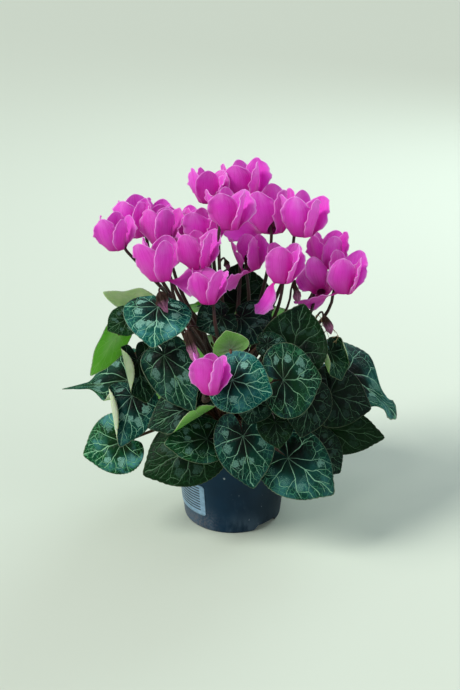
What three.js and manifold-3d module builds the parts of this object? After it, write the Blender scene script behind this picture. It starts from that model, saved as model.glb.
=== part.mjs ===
// A potted cyclamen: tapered pot with soil, half-buried tuber, leaf stalks, flower stalks,
// marbled heart-shaped leaves and nodding blooms with swept-back petals.
// Millimetres, +Z up. The origin is the middle of the pot's underside and -Y is the front.
import * as THREE from 'three';
import { mergeVertices } from 'three/addons/utils/BufferGeometryUtils.js';
import Module from 'manifold-3d';

const wasm = await Module();
wasm.setup();

// Pot
const POT_HEIGHT = 95;
const POT_RIM_RADIUS = 59.5;
const POT_TOP_RADIUS = 56.4;
const POT_FOOT_RADIUS = 47.6;
const POT_WALL = 1.5;
const POT_RIM_DEPTH = 9;
const FOOT_WIDTH = 5;
const CHANNEL_HEIGHT = 5;
const CENTRE_RADIUS = 24;
const NOTCH_WIDTH = 26;
const NOTCH_ANGLES = [-45, 135];
const HOLE_RADIUS = 3.2;
const HOLE_RING = 33.8;
const HOLE_COUNT = 4;
const GAP = 0.3;

// Label on the pot's left front
const LABEL_FROM = 184;
const LABEL_TO = 239;
const LABEL_LOW = 16;
const LABEL_HIGH = 50;
const LABEL_THICKNESS = 0.5;

// Soil and tuber
const SOIL_HEIGHT = 82;
const TUBER_RADIUS = 27;
const TUBER_TOP = 93;
const TUBER_BOTTOM = 64;
const CROWN_FLAT = 17.5;
const CROWN_HEIGHT = 7;
const CORE_RADIUS = 9;

// Leaves and stalks
const BLADE_THICKNESS = 0.8;
const STALK_SIDES = 4;
const LEAF_STALK_ROOT = 2.0;
const LEAF_STALK_TIP = 1.2;
const FLOWER_STALK_ROOT = 2.3;
const FLOWER_STALK_TIP = 1.35;
const CALYX_RADIUS = 4;

// Blooms
const PETAL_COUNT = 5;
const PETAL_LENGTH = 42;
const PETAL_HALF_WIDTH = 13.8;
const PETAL_THICKNESS = 0.7;
const MOUTH_RADIUS = 5;
const TUBE_HEIGHT = 7;

// The viewpoint from which the photographed positions below are read: [across, down] in the
// picture and the depth in millimetres behind the pot's axis.
const VIEW_SIDE = -2.4;
const VIEW_AWAY = 1000;
const VIEW_HEIGHT = 600;
const VIEW_TILT = THREE.MathUtils.degToRad(22.9);
const PICTURE_SCALE = 1150;
const PICTURE_MIDDLE = [230, 345];

function seen([across, down, depth]) {
  const a = (across - PICTURE_MIDDLE[0]) / PICTURE_SCALE;
  const b = (PICTURE_MIDDLE[1] - down) / PICTURE_SCALE;
  const forward = Math.cos(VIEW_TILT) + b * Math.sin(VIEW_TILT);
  const rise = b * Math.cos(VIEW_TILT) - Math.sin(VIEW_TILT);
  const t = (depth + VIEW_AWAY) / forward;
  return new THREE.Vector3(VIEW_SIDE + a * t, depth, VIEW_HEIGHT + rise * t);
}

function direction([azimuth, elevation]) {
  const a = THREE.MathUtils.degToRad(azimuth);
  const e = THREE.MathUtils.degToRad(elevation);
  return new THREE.Vector3(Math.cos(a) * Math.cos(e), Math.sin(a) * Math.cos(e), Math.sin(e));
}

// Leaves seen from the front. at: where the stalk joins the blade. tip: the blade's point.
// face: azimuth and elevation that the upper side looks to. wide: width against length.
// cup: bend across the blade, edges down above 0. arch: bend along it, tip down above 0.
// lobe: length of the two lobes beside the joint against the common length. nose: how far the
// tip is narrowed. via: a point that the stalk leans towards. rolls: sides that curl over.
const LEAVES = [
  {
    name: 'leaf_low_middle', at: [241, 435, -86], tip: [252, 488, -106], face: [-93, 22],
    wide: 0.95, cup: 0.25, arch: 0.2, wave: 1.2,
  },
  {
    name: 'leaf_low_right', at: [288, 458, -80], tip: [334, 493, -98], face: [-76, 26],
    wide: 0.92, cup: 0.2, arch: 0.15, wave: 1.4,
  },
  {
    name: 'leaf_low_far_right', at: [318, 448, -62], tip: [341, 472, -68], face: [-60, 20],
    wide: 1.1, cup: 0.3, arch: 0.2, wave: 1,
  },
  {
    name: 'leaf_right_of_middle', at: [309, 398, -88], tip: [303, 437, -106], face: [-80, 26],
    wide: 0.95, cup: 0.3, arch: 0.3, wave: 0.8,
  },
  {
    name: 'leaf_centre_right', at: [283, 380, -96], tip: [323, 377, -90], face: [-82, 34],
    wide: 1.42, cup: 0.25, arch: 0.25, wave: 1.6,
  },
  {
    name: 'leaf_under_centre', at: [255, 402, -94], tip: [248, 424, -104], face: [-92, 28],
    wide: 1.25, cup: 0.2, arch: 0.2, wave: 0.8,
  },
  {
    name: 'leaf_small_middle', at: [275, 422, -95], tip: [279, 448, -107], face: [-85, 18],
    wide: 1.05, cup: 0.3, arch: 0.2, wave: 0.6,
  },
  {
    name: 'leaf_centre', at: [232, 380, -108], tip: [272, 393, -114], face: [-94, 36],
    wide: 1.15, cup: 0.25, arch: 0.15, wave: 1.2,
  },
  {
    name: 'leaf_tall_left', at: [164, 355, -60], tip: [192, 411, -92], face: [-98, 12],
    wide: 0.66, cup: -0.3, arch: 0.1, wave: 1, lobe: 0.42, rolls: [[-90, 17, 5], [90, 18, 6]], via: [164, 355, -60],
  },
  {
    name: 'leaf_curled_left', at: [137, 360, -50], tip: [147, 402, -66], face: [-70, 18],
    wide: 0.95, cup: -0.5, arch: 0.1, wave: 1, lobe: 0.6, rolls: [[-90, 9, 4.2]],
  },
  {
    name: 'leaf_edge_left', at: [186, 406, -72], tip: [150, 427, -86], face: [-95, 42],
    wide: 0.95, cup: 0.1, arch: 0, wave: 1, rolls: [[100, 7, 5]],
  },
  {
    name: 'leaf_pointed_left', at: [207, 439, -74], tip: [166, 443, -90], face: [-95, 44],
    wide: 0.85, cup: 0.2, arch: 0.1, wave: 1,
  },
  {
    name: 'leaf_low_left', at: [197, 446, -66], tip: [143, 474, -82], face: [-95, 30],
    wide: 0.88, cup: 0.25, arch: 0.2, wave: 1.4,
  },
  {
    name: 'leaf_far_low_left', at: [122, 442, -52], tip: [84, 455, -56], face: [-98, 26],
    wide: 1.15, cup: 0.2, arch: 0.1, wave: 1.6,
  },
  {
    name: 'leaf_shield_left', at: [132, 396, -46], tip: [119, 446, -70], face: [-100, 14],
    wide: 0.85, cup: 0.3, arch: 0.1, wave: 1, lobe: 0.5, rolls: [[-90, 14, 6]], via: [132, 396, -46],
  },
  {
    name: 'leaf_nosed_left', at: [128, 380, -18], tip: [64, 389, -18], face: [-100, 40],
    wide: 0.74, cup: 0.2, arch: 0, wave: 0.4, nose: 0.7, rolls: [[90, 14, 8]],
  },
  {
    name: 'leaf_green_back_left', at: [117, 336, -26], tip: [94, 374, -46], face: [128, 16],
    wide: 0.8, cup: 0.2, arch: 0, wave: 0.6,
  },
  {
    name: 'leaf_pale_back_left', at: [137, 307, -4], tip: [105, 294, -12], face: [110, 24],
    wide: 0.8, cup: 0.2, arch: 0, wave: 0.6, rolls: [[-80, 8, 5]],
  },
  {
    name: 'leaf_small_left', at: [127, 319, -42], tip: [108, 330, -52], face: [-110, 28],
    wide: 1.1, cup: 0.3, arch: 0.1, wave: 0.5,
  },
  {
    name: 'leaf_upper_left', at: [158, 307, -62], tip: [151, 345, -84], face: [-98, 40],
    wide: 1.3, cup: 0.2, arch: 0.2, wave: 1.8, lobe: 0.6,
  },
  {
    name: 'leaf_dark_right', at: [330, 394, -50], tip: [371, 408, -52], face: [-72, 34],
    wide: 1.1, cup: 0.25, arch: 0.1, wave: 0.8,
  },
  {
    name: 'leaf_lower_right', at: [327, 428, -40], tip: [382, 437, -46], face: [-72, 28],
    wide: 0.66, cup: 0.3, arch: 0.1, wave: 0.8,
  },
  {
    name: 'leaf_long_right', at: [345, 378, -24], tip: [402, 412, -32], face: [-62, 46],
    wide: 0.72, cup: 0.3, arch: 0.1, wave: 1, nose: 0.45,
  },
  {
    name: 'leaf_small_right', at: [330, 352, -46], tip: [341, 378, -58], face: [-60, 24],
    wide: 1.05, cup: -0.4, arch: 0, wave: 0.6,
  },
  {
    name: 'leaf_upper_right', at: [292, 352, -62], tip: [302, 303, -44], face: [-92, 10],
    wide: 0.84, cup: -0.2, arch: -0.1, wave: 1.4,
  },
  {
    name: 'leaf_small_centre', at: [267, 344, -68], tip: [289, 347, -70], face: [-88, 44],
    wide: 0.95, cup: 0.2, arch: 0.1, wave: 0.6,
  },
  {
    name: 'leaf_olive_back', at: [231, 350, -84], tip: [227, 327, -76], face: [92, 36],
    wide: 1.25, cup: -0.2, arch: 0.1, wave: 1, lobe: 0.45, via: [231, 350, -114],
  },
  {
    name: 'leaf_upper_middle', at: [241, 318, -36], tip: [264, 339, -54], face: [-86, 52],
    wide: 1.0, cup: 0.2, arch: 0.1, wave: 1, lobe: 0.6,
  },
  {
    name: 'leaf_dark_back', at: [237, 303, 36], tip: [241, 268, 46], face: [-92, 34],
    wide: 1.1, cup: 0.2, arch: 0.1, wave: 1,
  },
  {
    name: 'leaf_upper_inner', at: [221, 317, -52], tip: [199, 325, -62], face: [-96, 50],
    wide: 1.0, cup: 0.2, arch: 0.1, wave: 0.8, via: [233, 327, -62],
  },
];

// Leaves behind, in tiers that lie over each other like tiles.
const BACK_TIERS = [
  {
    name: 'leaves_back_upper', from: 58, step: 34, count: 3,
    near: 72, far: 114, high: 190, low: 170, face: 60, wide: 1.05,
  },
  {
    name: 'leaves_back_middle', from: 26, step: 40, count: 4,
    near: 78, far: 126, high: 150, low: 122, face: 38, wide: 1.0,
  },
  {
    name: 'leaves_back_lower', from: 46, step: 44, count: 3,
    near: 76, far: 114, high: 112, low: 68, face: 24, wide: 1.1,
  },
];

// Blooms: eye is the mouth, top the middle of the petals' tips, gap the side on which the stalk
// comes up between two petals, flare how far the tips lean out, odd one petal that stands apart,
// bend how far it hangs out and roll how far it is turned on its own middle line, via a point
// that the stalk leans towards.
const BLOOMS = [
  { eye: [118, 249, -14], top: [113, 213, -12], gap: -20, flare: 10 },
  { eye: [137, 236, 24], top: [132, 196, 26], gap: -20, flare: 4 },
  { eye: [156, 238, 52], top: [157, 199, 54], gap: -40, flare: 4 },
  { eye: [162, 244, -6], top: [161, 206, -2], gap: 40, flare: 4 },
  { eye: [184, 243, 26], top: [183, 207, 28], gap: 30, flare: 2 },
  { eye: [204, 246, -6], top: [203, 207, -4], gap: 60, flare: 2 },
  { eye: [162, 280, -58], top: [158, 236, -52], gap: 40, flare: 6, odd: 3, bend: 60, roll: 75 },
  { eye: [199, 268, -43], top: [195, 230, -38], gap: 60, flare: 6 },
  { eye: [208, 304, -70], top: [209, 268, -62], gap: 90, flare: 22, via: [216, 356, -92] },
  { eye: [208, 203, 24], top: [210, 167, 30], gap: -60, flare: 10 },
  { eye: [246, 203, 52], top: [241, 160, 54], gap: 140, flare: 2 },
  { eye: [228, 229, -32], top: [229, 187, -26], gap: -150, flare: 6 },
  { eye: [271, 232, 24], top: [272, 185, 28], gap: -70, flare: 4, odd: 3, bend: 80, roll: 85 },
  { eye: [302, 235, -14], top: [305, 193, -12], gap: 160, flare: 2 },
  { eye: [256, 271, -8], top: [249, 235, -2], gap: 90, flare: 6, odd: 1, bend: 80, roll: 85 },
  { eye: [281, 282, -44], top: [284, 241, -38], gap: 100, flare: 6, odd: 2, bend: 160, roll: 70 },
  { eye: [329, 267, 26], top: [330, 230, 28], gap: 170, flare: 6 },
  { eye: [321, 292, -14], top: [316, 268, 16], gap: 130, flare: 4 },
  { eye: [343, 292, -24], top: [346, 251, -20], gap: 150, flare: 4, odd: 0, bend: 95, roll: 85 },
  { eye: [210, 394, -130], top: [212, 355, -122], gap: 110, flare: 4, via: [197, 420, -104] },
];

// Faded flowers and buds on hooked stalks: the hook's top, the lower end, a point of the stalk
// behind the hook, and the thickness.
const FADED = [
  { hook: [159, 290, -72], end: [168, 313, -76], via: [167, 292, -34], thick: 5 },
  { hook: [188, 328, -84], end: [197, 366, -104], via: [204, 334, -48], thick: 5.5 },
  { hook: [295, 281, -34], end: [297, 303, -40], via: [291, 290, -26], thick: 4.5 },
  { hook: [322, 312, -34], end: [331, 335, -36], via: [314, 322, -24], thick: 4.5 },
  { hook: [224, 258, -16], end: [229, 270, -18], via: [219, 264, -14], thick: 2.2 },
];

// Closed sheet: middle surface points with normals, triangles, and the rim loop, thickened to
// both sides so that the two faces are split alike.
function thicken(points, normals, triangles, rim, thickness) {
  const count = points.length;
  const position = [];
  for (const side of [0.5, -0.5]) {
    for (let i = 0; i < count; i++) {
      const p = points[i].clone().addScaledVector(normals[i], side * thickness);
      position.push(p.x, p.y, p.z);
    }
  }
  const index = [];
  for (const [a, b, c] of triangles) {
    index.push(a, b, c, a + count, c + count, b + count);
  }
  for (let i = 0; i < rim.length; i++) {
    const a = rim[i];
    const b = rim[(i + 1) % rim.length];
    index.push(a, a + count, b, b, a + count, b + count);
  }
  const geometry = new THREE.BufferGeometry();
  geometry.setAttribute('position', new THREE.Float32BufferAttribute(position, 3));
  geometry.setIndex(index);
  return geometry;
}

function sheetNormals(points, triangles) {
  const normals = points.map(() => new THREE.Vector3());
  for (const [a, b, c] of triangles) {
    const u = points[b].clone().sub(points[a]);
    const v = points[c].clone().sub(points[a]);
    const n = u.cross(v);
    normals[a].add(n);
    normals[b].add(n);
    normals[c].add(n);
  }
  return normals.map((n) => n.normalize());
}

// Leaf outline: distance from the stalk joint to the edge, against the length to the tip.
const OUTLINE = [1, 0.87, 0.8, 0.75, 0.715, 0.685, 0.66, 0.635, 0.61, 0.58, 0.53, 0.43, 0.1];
const OUTLINE_STEP = 15;

function outline(angle) {
  const place = Math.min(Math.abs(angle) / OUTLINE_STEP, OUTLINE.length - 1.001);
  const i = Math.floor(place);
  const f = place - i;
  const p0 = OUTLINE[Math.max(i - 1, 0)];
  const p1 = OUTLINE[i];
  const p2 = OUTLINE[i + 1];
  const p3 = OUTLINE[Math.min(i + 2, OUTLINE.length - 1)];
  const cubic = 0.5 * (2 * p1 + (p2 - p0) * f + (2 * p0 - 5 * p1 + 4 * p2 - p3) * f * f
    + (3 * p1 - p0 - 3 * p2 + p3) * f * f * f);
  return cubic;
}

function leafFrame(leaf) {
  const at = leaf.joint ?? seen(leaf.at);
  const tip = leaf.point ?? seen(leaf.tip);
  const axis = tip.clone().sub(at);
  const length = axis.length() * 1.03;
  axis.normalize();
  const face = direction(leaf.face);
  face.addScaledVector(axis, -face.dot(axis)).normalize();
  const side = face.clone().cross(axis);
  return { at, axis, face, side, length };
}

// A point of the blade: angle from the tip round the joint in degrees, reach 0 to 1 to the edge.
function bladePoint(leaf, frame, angle, reach) {
  const a = THREE.MathUtils.degToRad(angle);
  const shorter = 1 - (1 - (leaf.lobe ?? 1)) * THREE.MathUtils.smoothstep(Math.abs(angle), 80, 150);
  const r = frame.length * outline(angle) * reach * shorter;
  const along = r * Math.cos(a);
  const nose = 1 - (leaf.nose ?? 0) * THREE.MathUtils.smoothstep(along / frame.length, 0.2, 0.62);
  const across = r * Math.sin(a) * leaf.wide * nose;
  const cup = (leaf.cup ?? 0) / 30;
  const arch = (leaf.arch ?? 0) / 30;
  const x = across * (1 - (cup * across) ** 2 / 6);
  let z = -cup * across * across / 2;
  z += leaf.wave * reach * reach * Math.sin(3 * a + frame.length);
  const y = along * (1 - (arch * along) ** 2 / 6);
  z -= arch * along * along / 2 * Math.sign(along + 1e-9);
  return rolled(leaf.rolls ?? [], frame, x, y, z);
}

// A side of the blade that curls over: heading of that side from the tip, how far from the joint
// it starts, and the radius it curls with.
function rolled(rolls, frame, across, along, lift) {
  let x = across;
  let y = along;
  let z = lift;
  for (const [heading, start, radius] of rolls) {
    const sine = Math.sin(THREE.MathUtils.degToRad(heading));
    const cosine = Math.cos(THREE.MathUtils.degToRad(heading));
    const beyond = Math.max(0, x * sine + y * cosine - start);
    const back = radius * Math.sin(beyond / radius) - beyond;
    x += back * sine;
    y += back * cosine;
    z += radius * (1 - Math.cos(beyond / radius));
  }
  return frame.at.clone()
    .addScaledVector(frame.axis, y)
    .addScaledVector(frame.side, x)
    .addScaledVector(frame.face, z);
}

const BLADE_SPOKES = 17;
const BLADE_SPREAD = 173;
const TOOTH = 0.03;

function blade(leaf) {
  const frame = leafFrame(leaf);
  const reaches = [0.55, 1];
  const points = [bladePoint(leaf, frame, 0, 0)];
  for (const reach of reaches) {
    for (let i = 0; i < BLADE_SPOKES; i++) {
      const angle = -BLADE_SPREAD + 2 * BLADE_SPREAD * i / (BLADE_SPOKES - 1);
      const tooth = reach === 1 && i % 2 === 0 && i !== (BLADE_SPOKES - 1) / 2 ? 1 - TOOTH : 1;
      points.push(bladePoint(leaf, frame, angle, reach * tooth));
    }
  }
  const triangles = [];
  const inner = (i) => 1 + i;
  const outer = (i) => 1 + BLADE_SPOKES + i;
  for (let i = 0; i < BLADE_SPOKES - 1; i++) {
    triangles.push([0, inner(i), inner(i + 1)]);
    triangles.push([inner(i), outer(i), outer(i + 1)]);
    triangles.push([inner(i), outer(i + 1), inner(i + 1)]);
  }
  const rim = [0, inner(0)];
  for (let i = 0; i < BLADE_SPOKES; i++) {
    rim.push(outer(i));
  }
  rim.push(inner(BLADE_SPOKES - 1));
  const normals = sheetNormals(points, triangles);
  return thicken(points, normals, triangles, rim, BLADE_THICKNESS);
}

// Round rod of few sides along a list of points, closed at both ends.
function rod(path, radii, sides) {
  const curve = path;
  const position = [];
  let normal = null;
  for (let i = 0; i < curve.length; i++) {
    const before = curve[Math.max(i - 1, 0)];
    const after = curve[Math.min(i + 1, curve.length - 1)];
    const tangent = after.clone().sub(before).normalize();
    if (normal === null) {
      normal = new THREE.Vector3(0.3, 1, 0.2);
    }
    normal.addScaledVector(tangent, -normal.dot(tangent)).normalize();
    const binormal = tangent.clone().cross(normal);
    for (let k = 0; k < sides; k++) {
      const a = 2 * Math.PI * k / sides;
      const p = curve[i].clone()
        .addScaledVector(normal, radii[i] * Math.cos(a))
        .addScaledVector(binormal, radii[i] * Math.sin(a));
      position.push(p.x, p.y, p.z);
    }
  }
  const index = [];
  const last = (curve.length - 1) * sides;
  for (let i = 0; i < curve.length - 1; i++) {
    for (let k = 0; k < sides; k++) {
      const a = i * sides + k;
      const b = i * sides + (k + 1) % sides;
      index.push(a, b, b + sides, a, b + sides, a + sides);
    }
  }
  for (let k = 1; k < sides - 1; k++) {
    index.push(0, k + 1, k);
    index.push(last, last + k, last + k + 1);
  }
  const geometry = new THREE.BufferGeometry();
  geometry.setAttribute('position', new THREE.Float32BufferAttribute(position, 3));
  geometry.setIndex(index);
  return geometry;
}

function solid(geometry) {
  let g = geometry.clone();
  g.deleteAttribute('normal');
  g.deleteAttribute('uv');
  g = mergeVertices(g, 1e-4);
  return new wasm.Manifold(new wasm.Mesh({
    numProp: 3,
    vertProperties: new Float32Array(g.attributes.position.array),
    triVerts: new Uint32Array(g.index.array),
  }));
}

function geometryOf(body) {
  const mesh = body.getMesh();
  const geometry = new THREE.BufferGeometry();
  geometry.setAttribute('position', new THREE.Float32BufferAttribute(mesh.vertProperties, 3));
  geometry.setIndex(Array.from(mesh.triVerts));
  return mergeVertices(geometry, 1e-3);
}

function joined(geometries) {
  let body = solid(geometries[0]);
  for (const geometry of geometries.slice(1)) {
    body = body.add(solid(geometry));
  }
  return body;
}

function lathe(profile, segments) {
  const points = profile.map(([r, z]) => new THREE.Vector2(r, z));
  const geometry = new THREE.LatheGeometry(points, segments);
  geometry.rotateX(Math.PI / 2);
  return geometry;
}

function curvePoints(control, steps) {
  const curve = new THREE.CubicBezierCurve3(...control);
  return curve.getPoints(steps);
}

// Leaf stalk: out of the crown, up and out, to just under the blade's joint.
function leafStalk(leaf) {
  const frame = leafFrame(leaf);
  const end = frame.at.clone().addScaledVector(frame.face, -1.75);
  const away = Math.atan2(end.y, end.x);
  const out = new THREE.Vector3(Math.cos(away), Math.sin(away), 0);
  const root = out.clone().multiplyScalar((CORE_RADIUS + CROWN_FLAT) / 2 + 0.6);
  root.z = TUBER_TOP + GAP + CROWN_HEIGHT - 3;
  const span = end.distanceTo(root);
  const flat = Math.hypot(end.x, end.y) / (Math.hypot(end.x, end.y) + Math.max(0, end.z - root.z));
  const rise = out.clone().multiplyScalar(0.3 + 0.6 * flat);
  rise.z = 1.1 - 0.5 * flat;
  rise.normalize();
  const arrive = frame.axis.clone().multiplyScalar(0.8).addScaledVector(frame.face, 0.55).normalize();
  const control = [
    root,
    root.clone().addScaledVector(rise, span * 0.38),
    leaf.via ? seen(leaf.via) : end.clone().addScaledVector(arrive, -span * 0.3),
    end,
  ];
  const steps = 4;
  const path = curvePoints(control, steps);
  const radii = path.map((_, i) => {
    const t = i / steps;
    return LEAF_STALK_ROOT + (LEAF_STALK_TIP - LEAF_STALK_ROOT) * t;
  });
  return rod(path, radii, STALK_SIDES);
}

function bloomFrame(bloom) {
  const eye = seen(bloom.eye);
  const top = seen(bloom.top);
  const up = top.clone().sub(eye);
  const size = up.length() / 38;
  up.normalize();
  const gap = direction([bloom.gap, 0]);
  gap.addScaledVector(up, -gap.dot(up)).normalize();
  const side = up.clone().cross(gap);
  return { eye, up, gap, side, size };
}

function bloomPoint(frame, radius, angle, height) {
  const a = THREE.MathUtils.degToRad(angle);
  return frame.eye.clone()
    .addScaledVector(frame.gap, radius * Math.cos(a) * frame.size)
    .addScaledVector(frame.side, radius * Math.sin(a) * frame.size)
    .addScaledVector(frame.up, height * frame.size);
}

const PETAL_ROWS = [0.22, 0.58];
const PETAL_SHOULDER = 0.92;
const PETAL_WIND = 4;

// Half width of a petal against its greatest half width, from the mouth (0) to the tip (1).
function petalWidth(s) {
  const claw = 0.22 + 0.78 * THREE.MathUtils.smoothstep(s, 0.2, 0.56);
  const end = Math.max(0, (s - 0.55) / 0.45);
  return claw * Math.sqrt(Math.max(0, 1 - end ** 2.6));
}

// Middle line of a petal: it leaves the mouth outwards, turns sharply and sweeps back.
function petalLine(s, flare, bend) {
  const steps = 24;
  let radius = MOUTH_RADIUS;
  let height = 0;
  for (let i = 0; i < steps; i++) {
    const t = (i + 0.5) / steps * s;
    const turn = THREE.MathUtils.smoothstep(t, 0, 0.17);
    const angle = -25 + (103 - bend) * turn + (14 - 2 * flare) * t * t;
    const a = THREE.MathUtils.degToRad(angle);
    radius += Math.cos(a) * PETAL_LENGTH * s / steps;
    height += Math.sin(a) * PETAL_LENGTH * s / steps;
  }
  return { radius, height };
}

// A point of a petal. Each petal winds round the bloom's axis, with one side inside the petal
// before it and the other outside the next one. The odd petal turns on its own middle line.
function petalPoint(frame, bloom, k, s, t) {
  const odd = bloom.odd === k;
  const bend = odd ? bloom.bend : 0;
  const line = petalLine(s, bloom.flare, bend);
  const ahead = petalLine(Math.min(1, s + 0.02), bloom.flare, bend);
  const slope = Math.atan2(ahead.height - line.height, ahead.radius - line.radius);
  const half = PETAL_HALF_WIDTH * petalWidth(s) * t;
  const turn = THREE.MathUtils.degToRad(odd ? bloom.roll : 0) * THREE.MathUtils.smoothstep(s, 0, 0.4);
  const wind = odd ? 0 : PETAL_WIND * t * THREE.MathUtils.smoothstep(s, 0.15, 0.55);
  const lean = half * Math.sin(turn) + wind;
  const radius = line.radius - lean * Math.sin(slope);
  const height = line.height + lean * Math.cos(slope);
  const swing = half * Math.cos(turn) / Math.max(radius, 7);
  return bloomPoint(frame, radius, 36 + 72 * k + THREE.MathUtils.radToDeg(swing), height);
}

function corolla(bloom) {
  const frame = bloomFrame(bloom);
  const points = [bloomPoint(frame, 0, 0, TUBE_HEIGHT)];
  const ring = 2 * PETAL_COUNT;
  for (let i = 0; i < ring; i++) {
    points.push(bloomPoint(frame, MOUTH_RADIUS, i * 36, 0));
  }
  const triangles = [];
  const rim = [];
  for (let i = 0; i < ring; i++) {
    triangles.push([0, 1 + i, 1 + (i + 1) % ring]);
  }
  for (let k = 0; k < PETAL_COUNT; k++) {
    let row = [1 + 2 * k, 1 + (2 * k + 1) % ring, 1 + (2 * k + 2) % ring];
    rim.push(row[0]);
    const left = [];
    const right = [];
    for (const s of PETAL_ROWS) {
      const next = [-1, 0, 1].map((t) => points.push(petalPoint(frame, bloom, k, s, t)) - 1);
      for (let c = 0; c < 2; c++) {
        if (c === 0) {
          triangles.push([row[c], next[c], next[c + 1]], [row[c], next[c + 1], row[c + 1]]);
        } else {
          triangles.push([row[c], next[c], row[c + 1]], [next[c], next[c + 1], row[c + 1]]);
        }
      }
      left.push(next[0]);
      right.unshift(next[2]);
      row = next;
    }
    const tip = points.push(petalPoint(frame, bloom, k, 1, 0)) - 1;
    const near = points.push(petalPoint(frame, bloom, k, PETAL_SHOULDER, -1)) - 1;
    const far = points.push(petalPoint(frame, bloom, k, PETAL_SHOULDER, 1)) - 1;
    triangles.push([row[0], near, tip], [row[0], tip, row[1]]);
    triangles.push([row[1], tip, row[2]], [tip, far, row[2]]);
    rim.push(...left, near, tip, far, ...right);
  }
  const normals = sheetNormals(points, triangles);
  return thicken(points, normals, triangles, rim, PETAL_THICKNESS);
}

// Flower stalk: from the crown's core, up beside the mouth, over in a hook and down to the calyx,
// which is the flared end of the stalk and stands on the tube.
function flowerStalk(bloom) {
  const frame = bloomFrame(bloom);
  const beside = bloomPoint(frame, 9.4, 0, -2);
  const toward = bloom.via ? seen(bloom.via) : beside;
  const away = Math.atan2(toward.y, toward.x);
  const out = new THREE.Vector3(Math.cos(away), Math.sin(away), 0);
  const root = out.clone().multiplyScalar(CORE_RADIUS * 0.5);
  root.z = TUBER_TOP + GAP + CROWN_HEIGHT - 3;
  const span = beside.distanceTo(root);
  const control = [
    root,
    root.clone().add(new THREE.Vector3(0, 0, span * 0.42)),
    bloom.via ? toward : beside.clone().addScaledVector(frame.up, -span * 0.3),
    beside,
  ];
  const path = curvePoints(control, 5);
  path.push(bloomPoint(frame, 7.4, 0, 4.5));
  path.push(bloomPoint(frame, 5.2, 0, 13.2));
  path.push(bloomPoint(frame, 1.2, 0, 14.2));
  path.push(bloomPoint(frame, 0, 0, TUBE_HEIGHT + 3.6));
  path.push(bloomPoint(frame, 0, 0, TUBE_HEIGHT + 1));
  const radii = path.map((_, i) => {
    const t = Math.min(1, i / 6);
    return FLOWER_STALK_ROOT + (FLOWER_STALK_TIP - FLOWER_STALK_ROOT) * t;
  });
  radii[radii.length - 1] = CALYX_RADIUS * Math.min(1, frame.size);
  return rod(path, radii, STALK_SIDES);
}

// Faded flower or bud: a hooked stalk with a drooping spindle, furrowed along its length.
function fadedFlower(head) {
  const hook = seen(head.hook);
  const end = seen(head.end);
  const away = Math.atan2(end.y, end.x);
  const base = new THREE.Vector3(Math.cos(away), Math.sin(away), 0).multiplyScalar(CORE_RADIUS * 0.4);
  base.z = TUBER_TOP + GAP + CROWN_HEIGHT - 3;
  const fall = end.clone().sub(hook);
  const behind = seen(head.via);
  const span = behind.distanceTo(base);
  const path = curvePoints([
    base,
    base.clone().add(new THREE.Vector3(0, 0, span * 0.45)),
    behind.clone().add(new THREE.Vector3(0, 0, -span * 0.25)),
    behind,
  ], 4);
  path.push(behind.clone().lerp(hook, 0.5).add(new THREE.Vector3(0, 0, head.thick * 0.6)));
  path.push(hook);
  path.push(hook.clone().addScaledVector(fall, 0.3));
  const stalk = rod(path, path.map((_, i) => Math.max(0.9, 1.7 - i * 0.12)), STALK_SIDES);
  const body = [0.06, 0.22, 0.5, 0.78, 1].map((t) => hook.clone().addScaledVector(fall, t));
  const thick = [0.3, 0.8, 1, 0.7, 0.2].map((t) => t * head.thick);
  return [stalk, rod(body, thick, 6)];
}

const root = new THREE.Group();

function place(name, geometry, color, roughness) {
  const material = new THREE.MeshStandardMaterial({ color, roughness, metalness: 0 });
  const mesh = new THREE.Mesh(geometry, material);
  mesh.name = name;
  root.add(mesh);
  return mesh;
}

const POT_COLOUR = 0x26404f;
const LABEL_COLOUR = 0x8fb2cc;
const SOIL_COLOUR = 0x1d1712;
const TUBER_COLOUR = 0x4a3526;
const LEAF_STALK_COLOUR = 0x5a3326;
const FLOWER_STALK_COLOUR = 0x3a1f1f;
const LEAF_COLOUR = 0x1c4a3c;
const PETAL_COLOUR = 0xc23fb4;

// Pot: tapered wall under a deeper rim, foot ring with two notches, raised channel with holes.
function potBody() {
  const step = POT_HEIGHT - POT_RIM_DEPTH;
  const profile = [
    [0, 0],
    [CENTRE_RADIUS, 0],
    [CENTRE_RADIUS + 2, CHANNEL_HEIGHT],
    [POT_FOOT_RADIUS - FOOT_WIDTH - 1, CHANNEL_HEIGHT],
    [POT_FOOT_RADIUS - FOOT_WIDTH, 0],
    [POT_FOOT_RADIUS, 0],
    [POT_TOP_RADIUS, step],
    [POT_RIM_RADIUS, step],
    [POT_RIM_RADIUS, POT_HEIGHT - 1],
    [POT_RIM_RADIUS - 1, POT_HEIGHT],
    [POT_TOP_RADIUS - 0.6, POT_HEIGHT],
    [POT_TOP_RADIUS - POT_WALL, step - 2],
    [POT_FOOT_RADIUS - POT_WALL - 1, CHANNEL_HEIGHT + 2],
    [0, CHANNEL_HEIGHT + 2],
    [0, 0],
  ];
  let body = solid(lathe(profile, 28));
  for (const angle of NOTCH_ANGLES) {
    const cutter = new THREE.BoxGeometry(20, NOTCH_WIDTH, 2 * CHANNEL_HEIGHT);
    cutter.translate(POT_FOOT_RADIUS + 4, 0, 0);
    cutter.rotateZ(THREE.MathUtils.degToRad(angle));
    body = body.subtract(solid(cutter));
  }
  for (let i = 0; i < HOLE_COUNT; i++) {
    const hole = new THREE.CylinderGeometry(HOLE_RADIUS, HOLE_RADIUS, 12, 6);
    hole.rotateX(Math.PI / 2);
    hole.translate(HOLE_RING, 0, CHANNEL_HEIGHT);
    hole.rotateZ(2 * Math.PI * (i + 0.5) / HOLE_COUNT);
    body = body.subtract(solid(hole));
  }
  return body;
}

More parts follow.
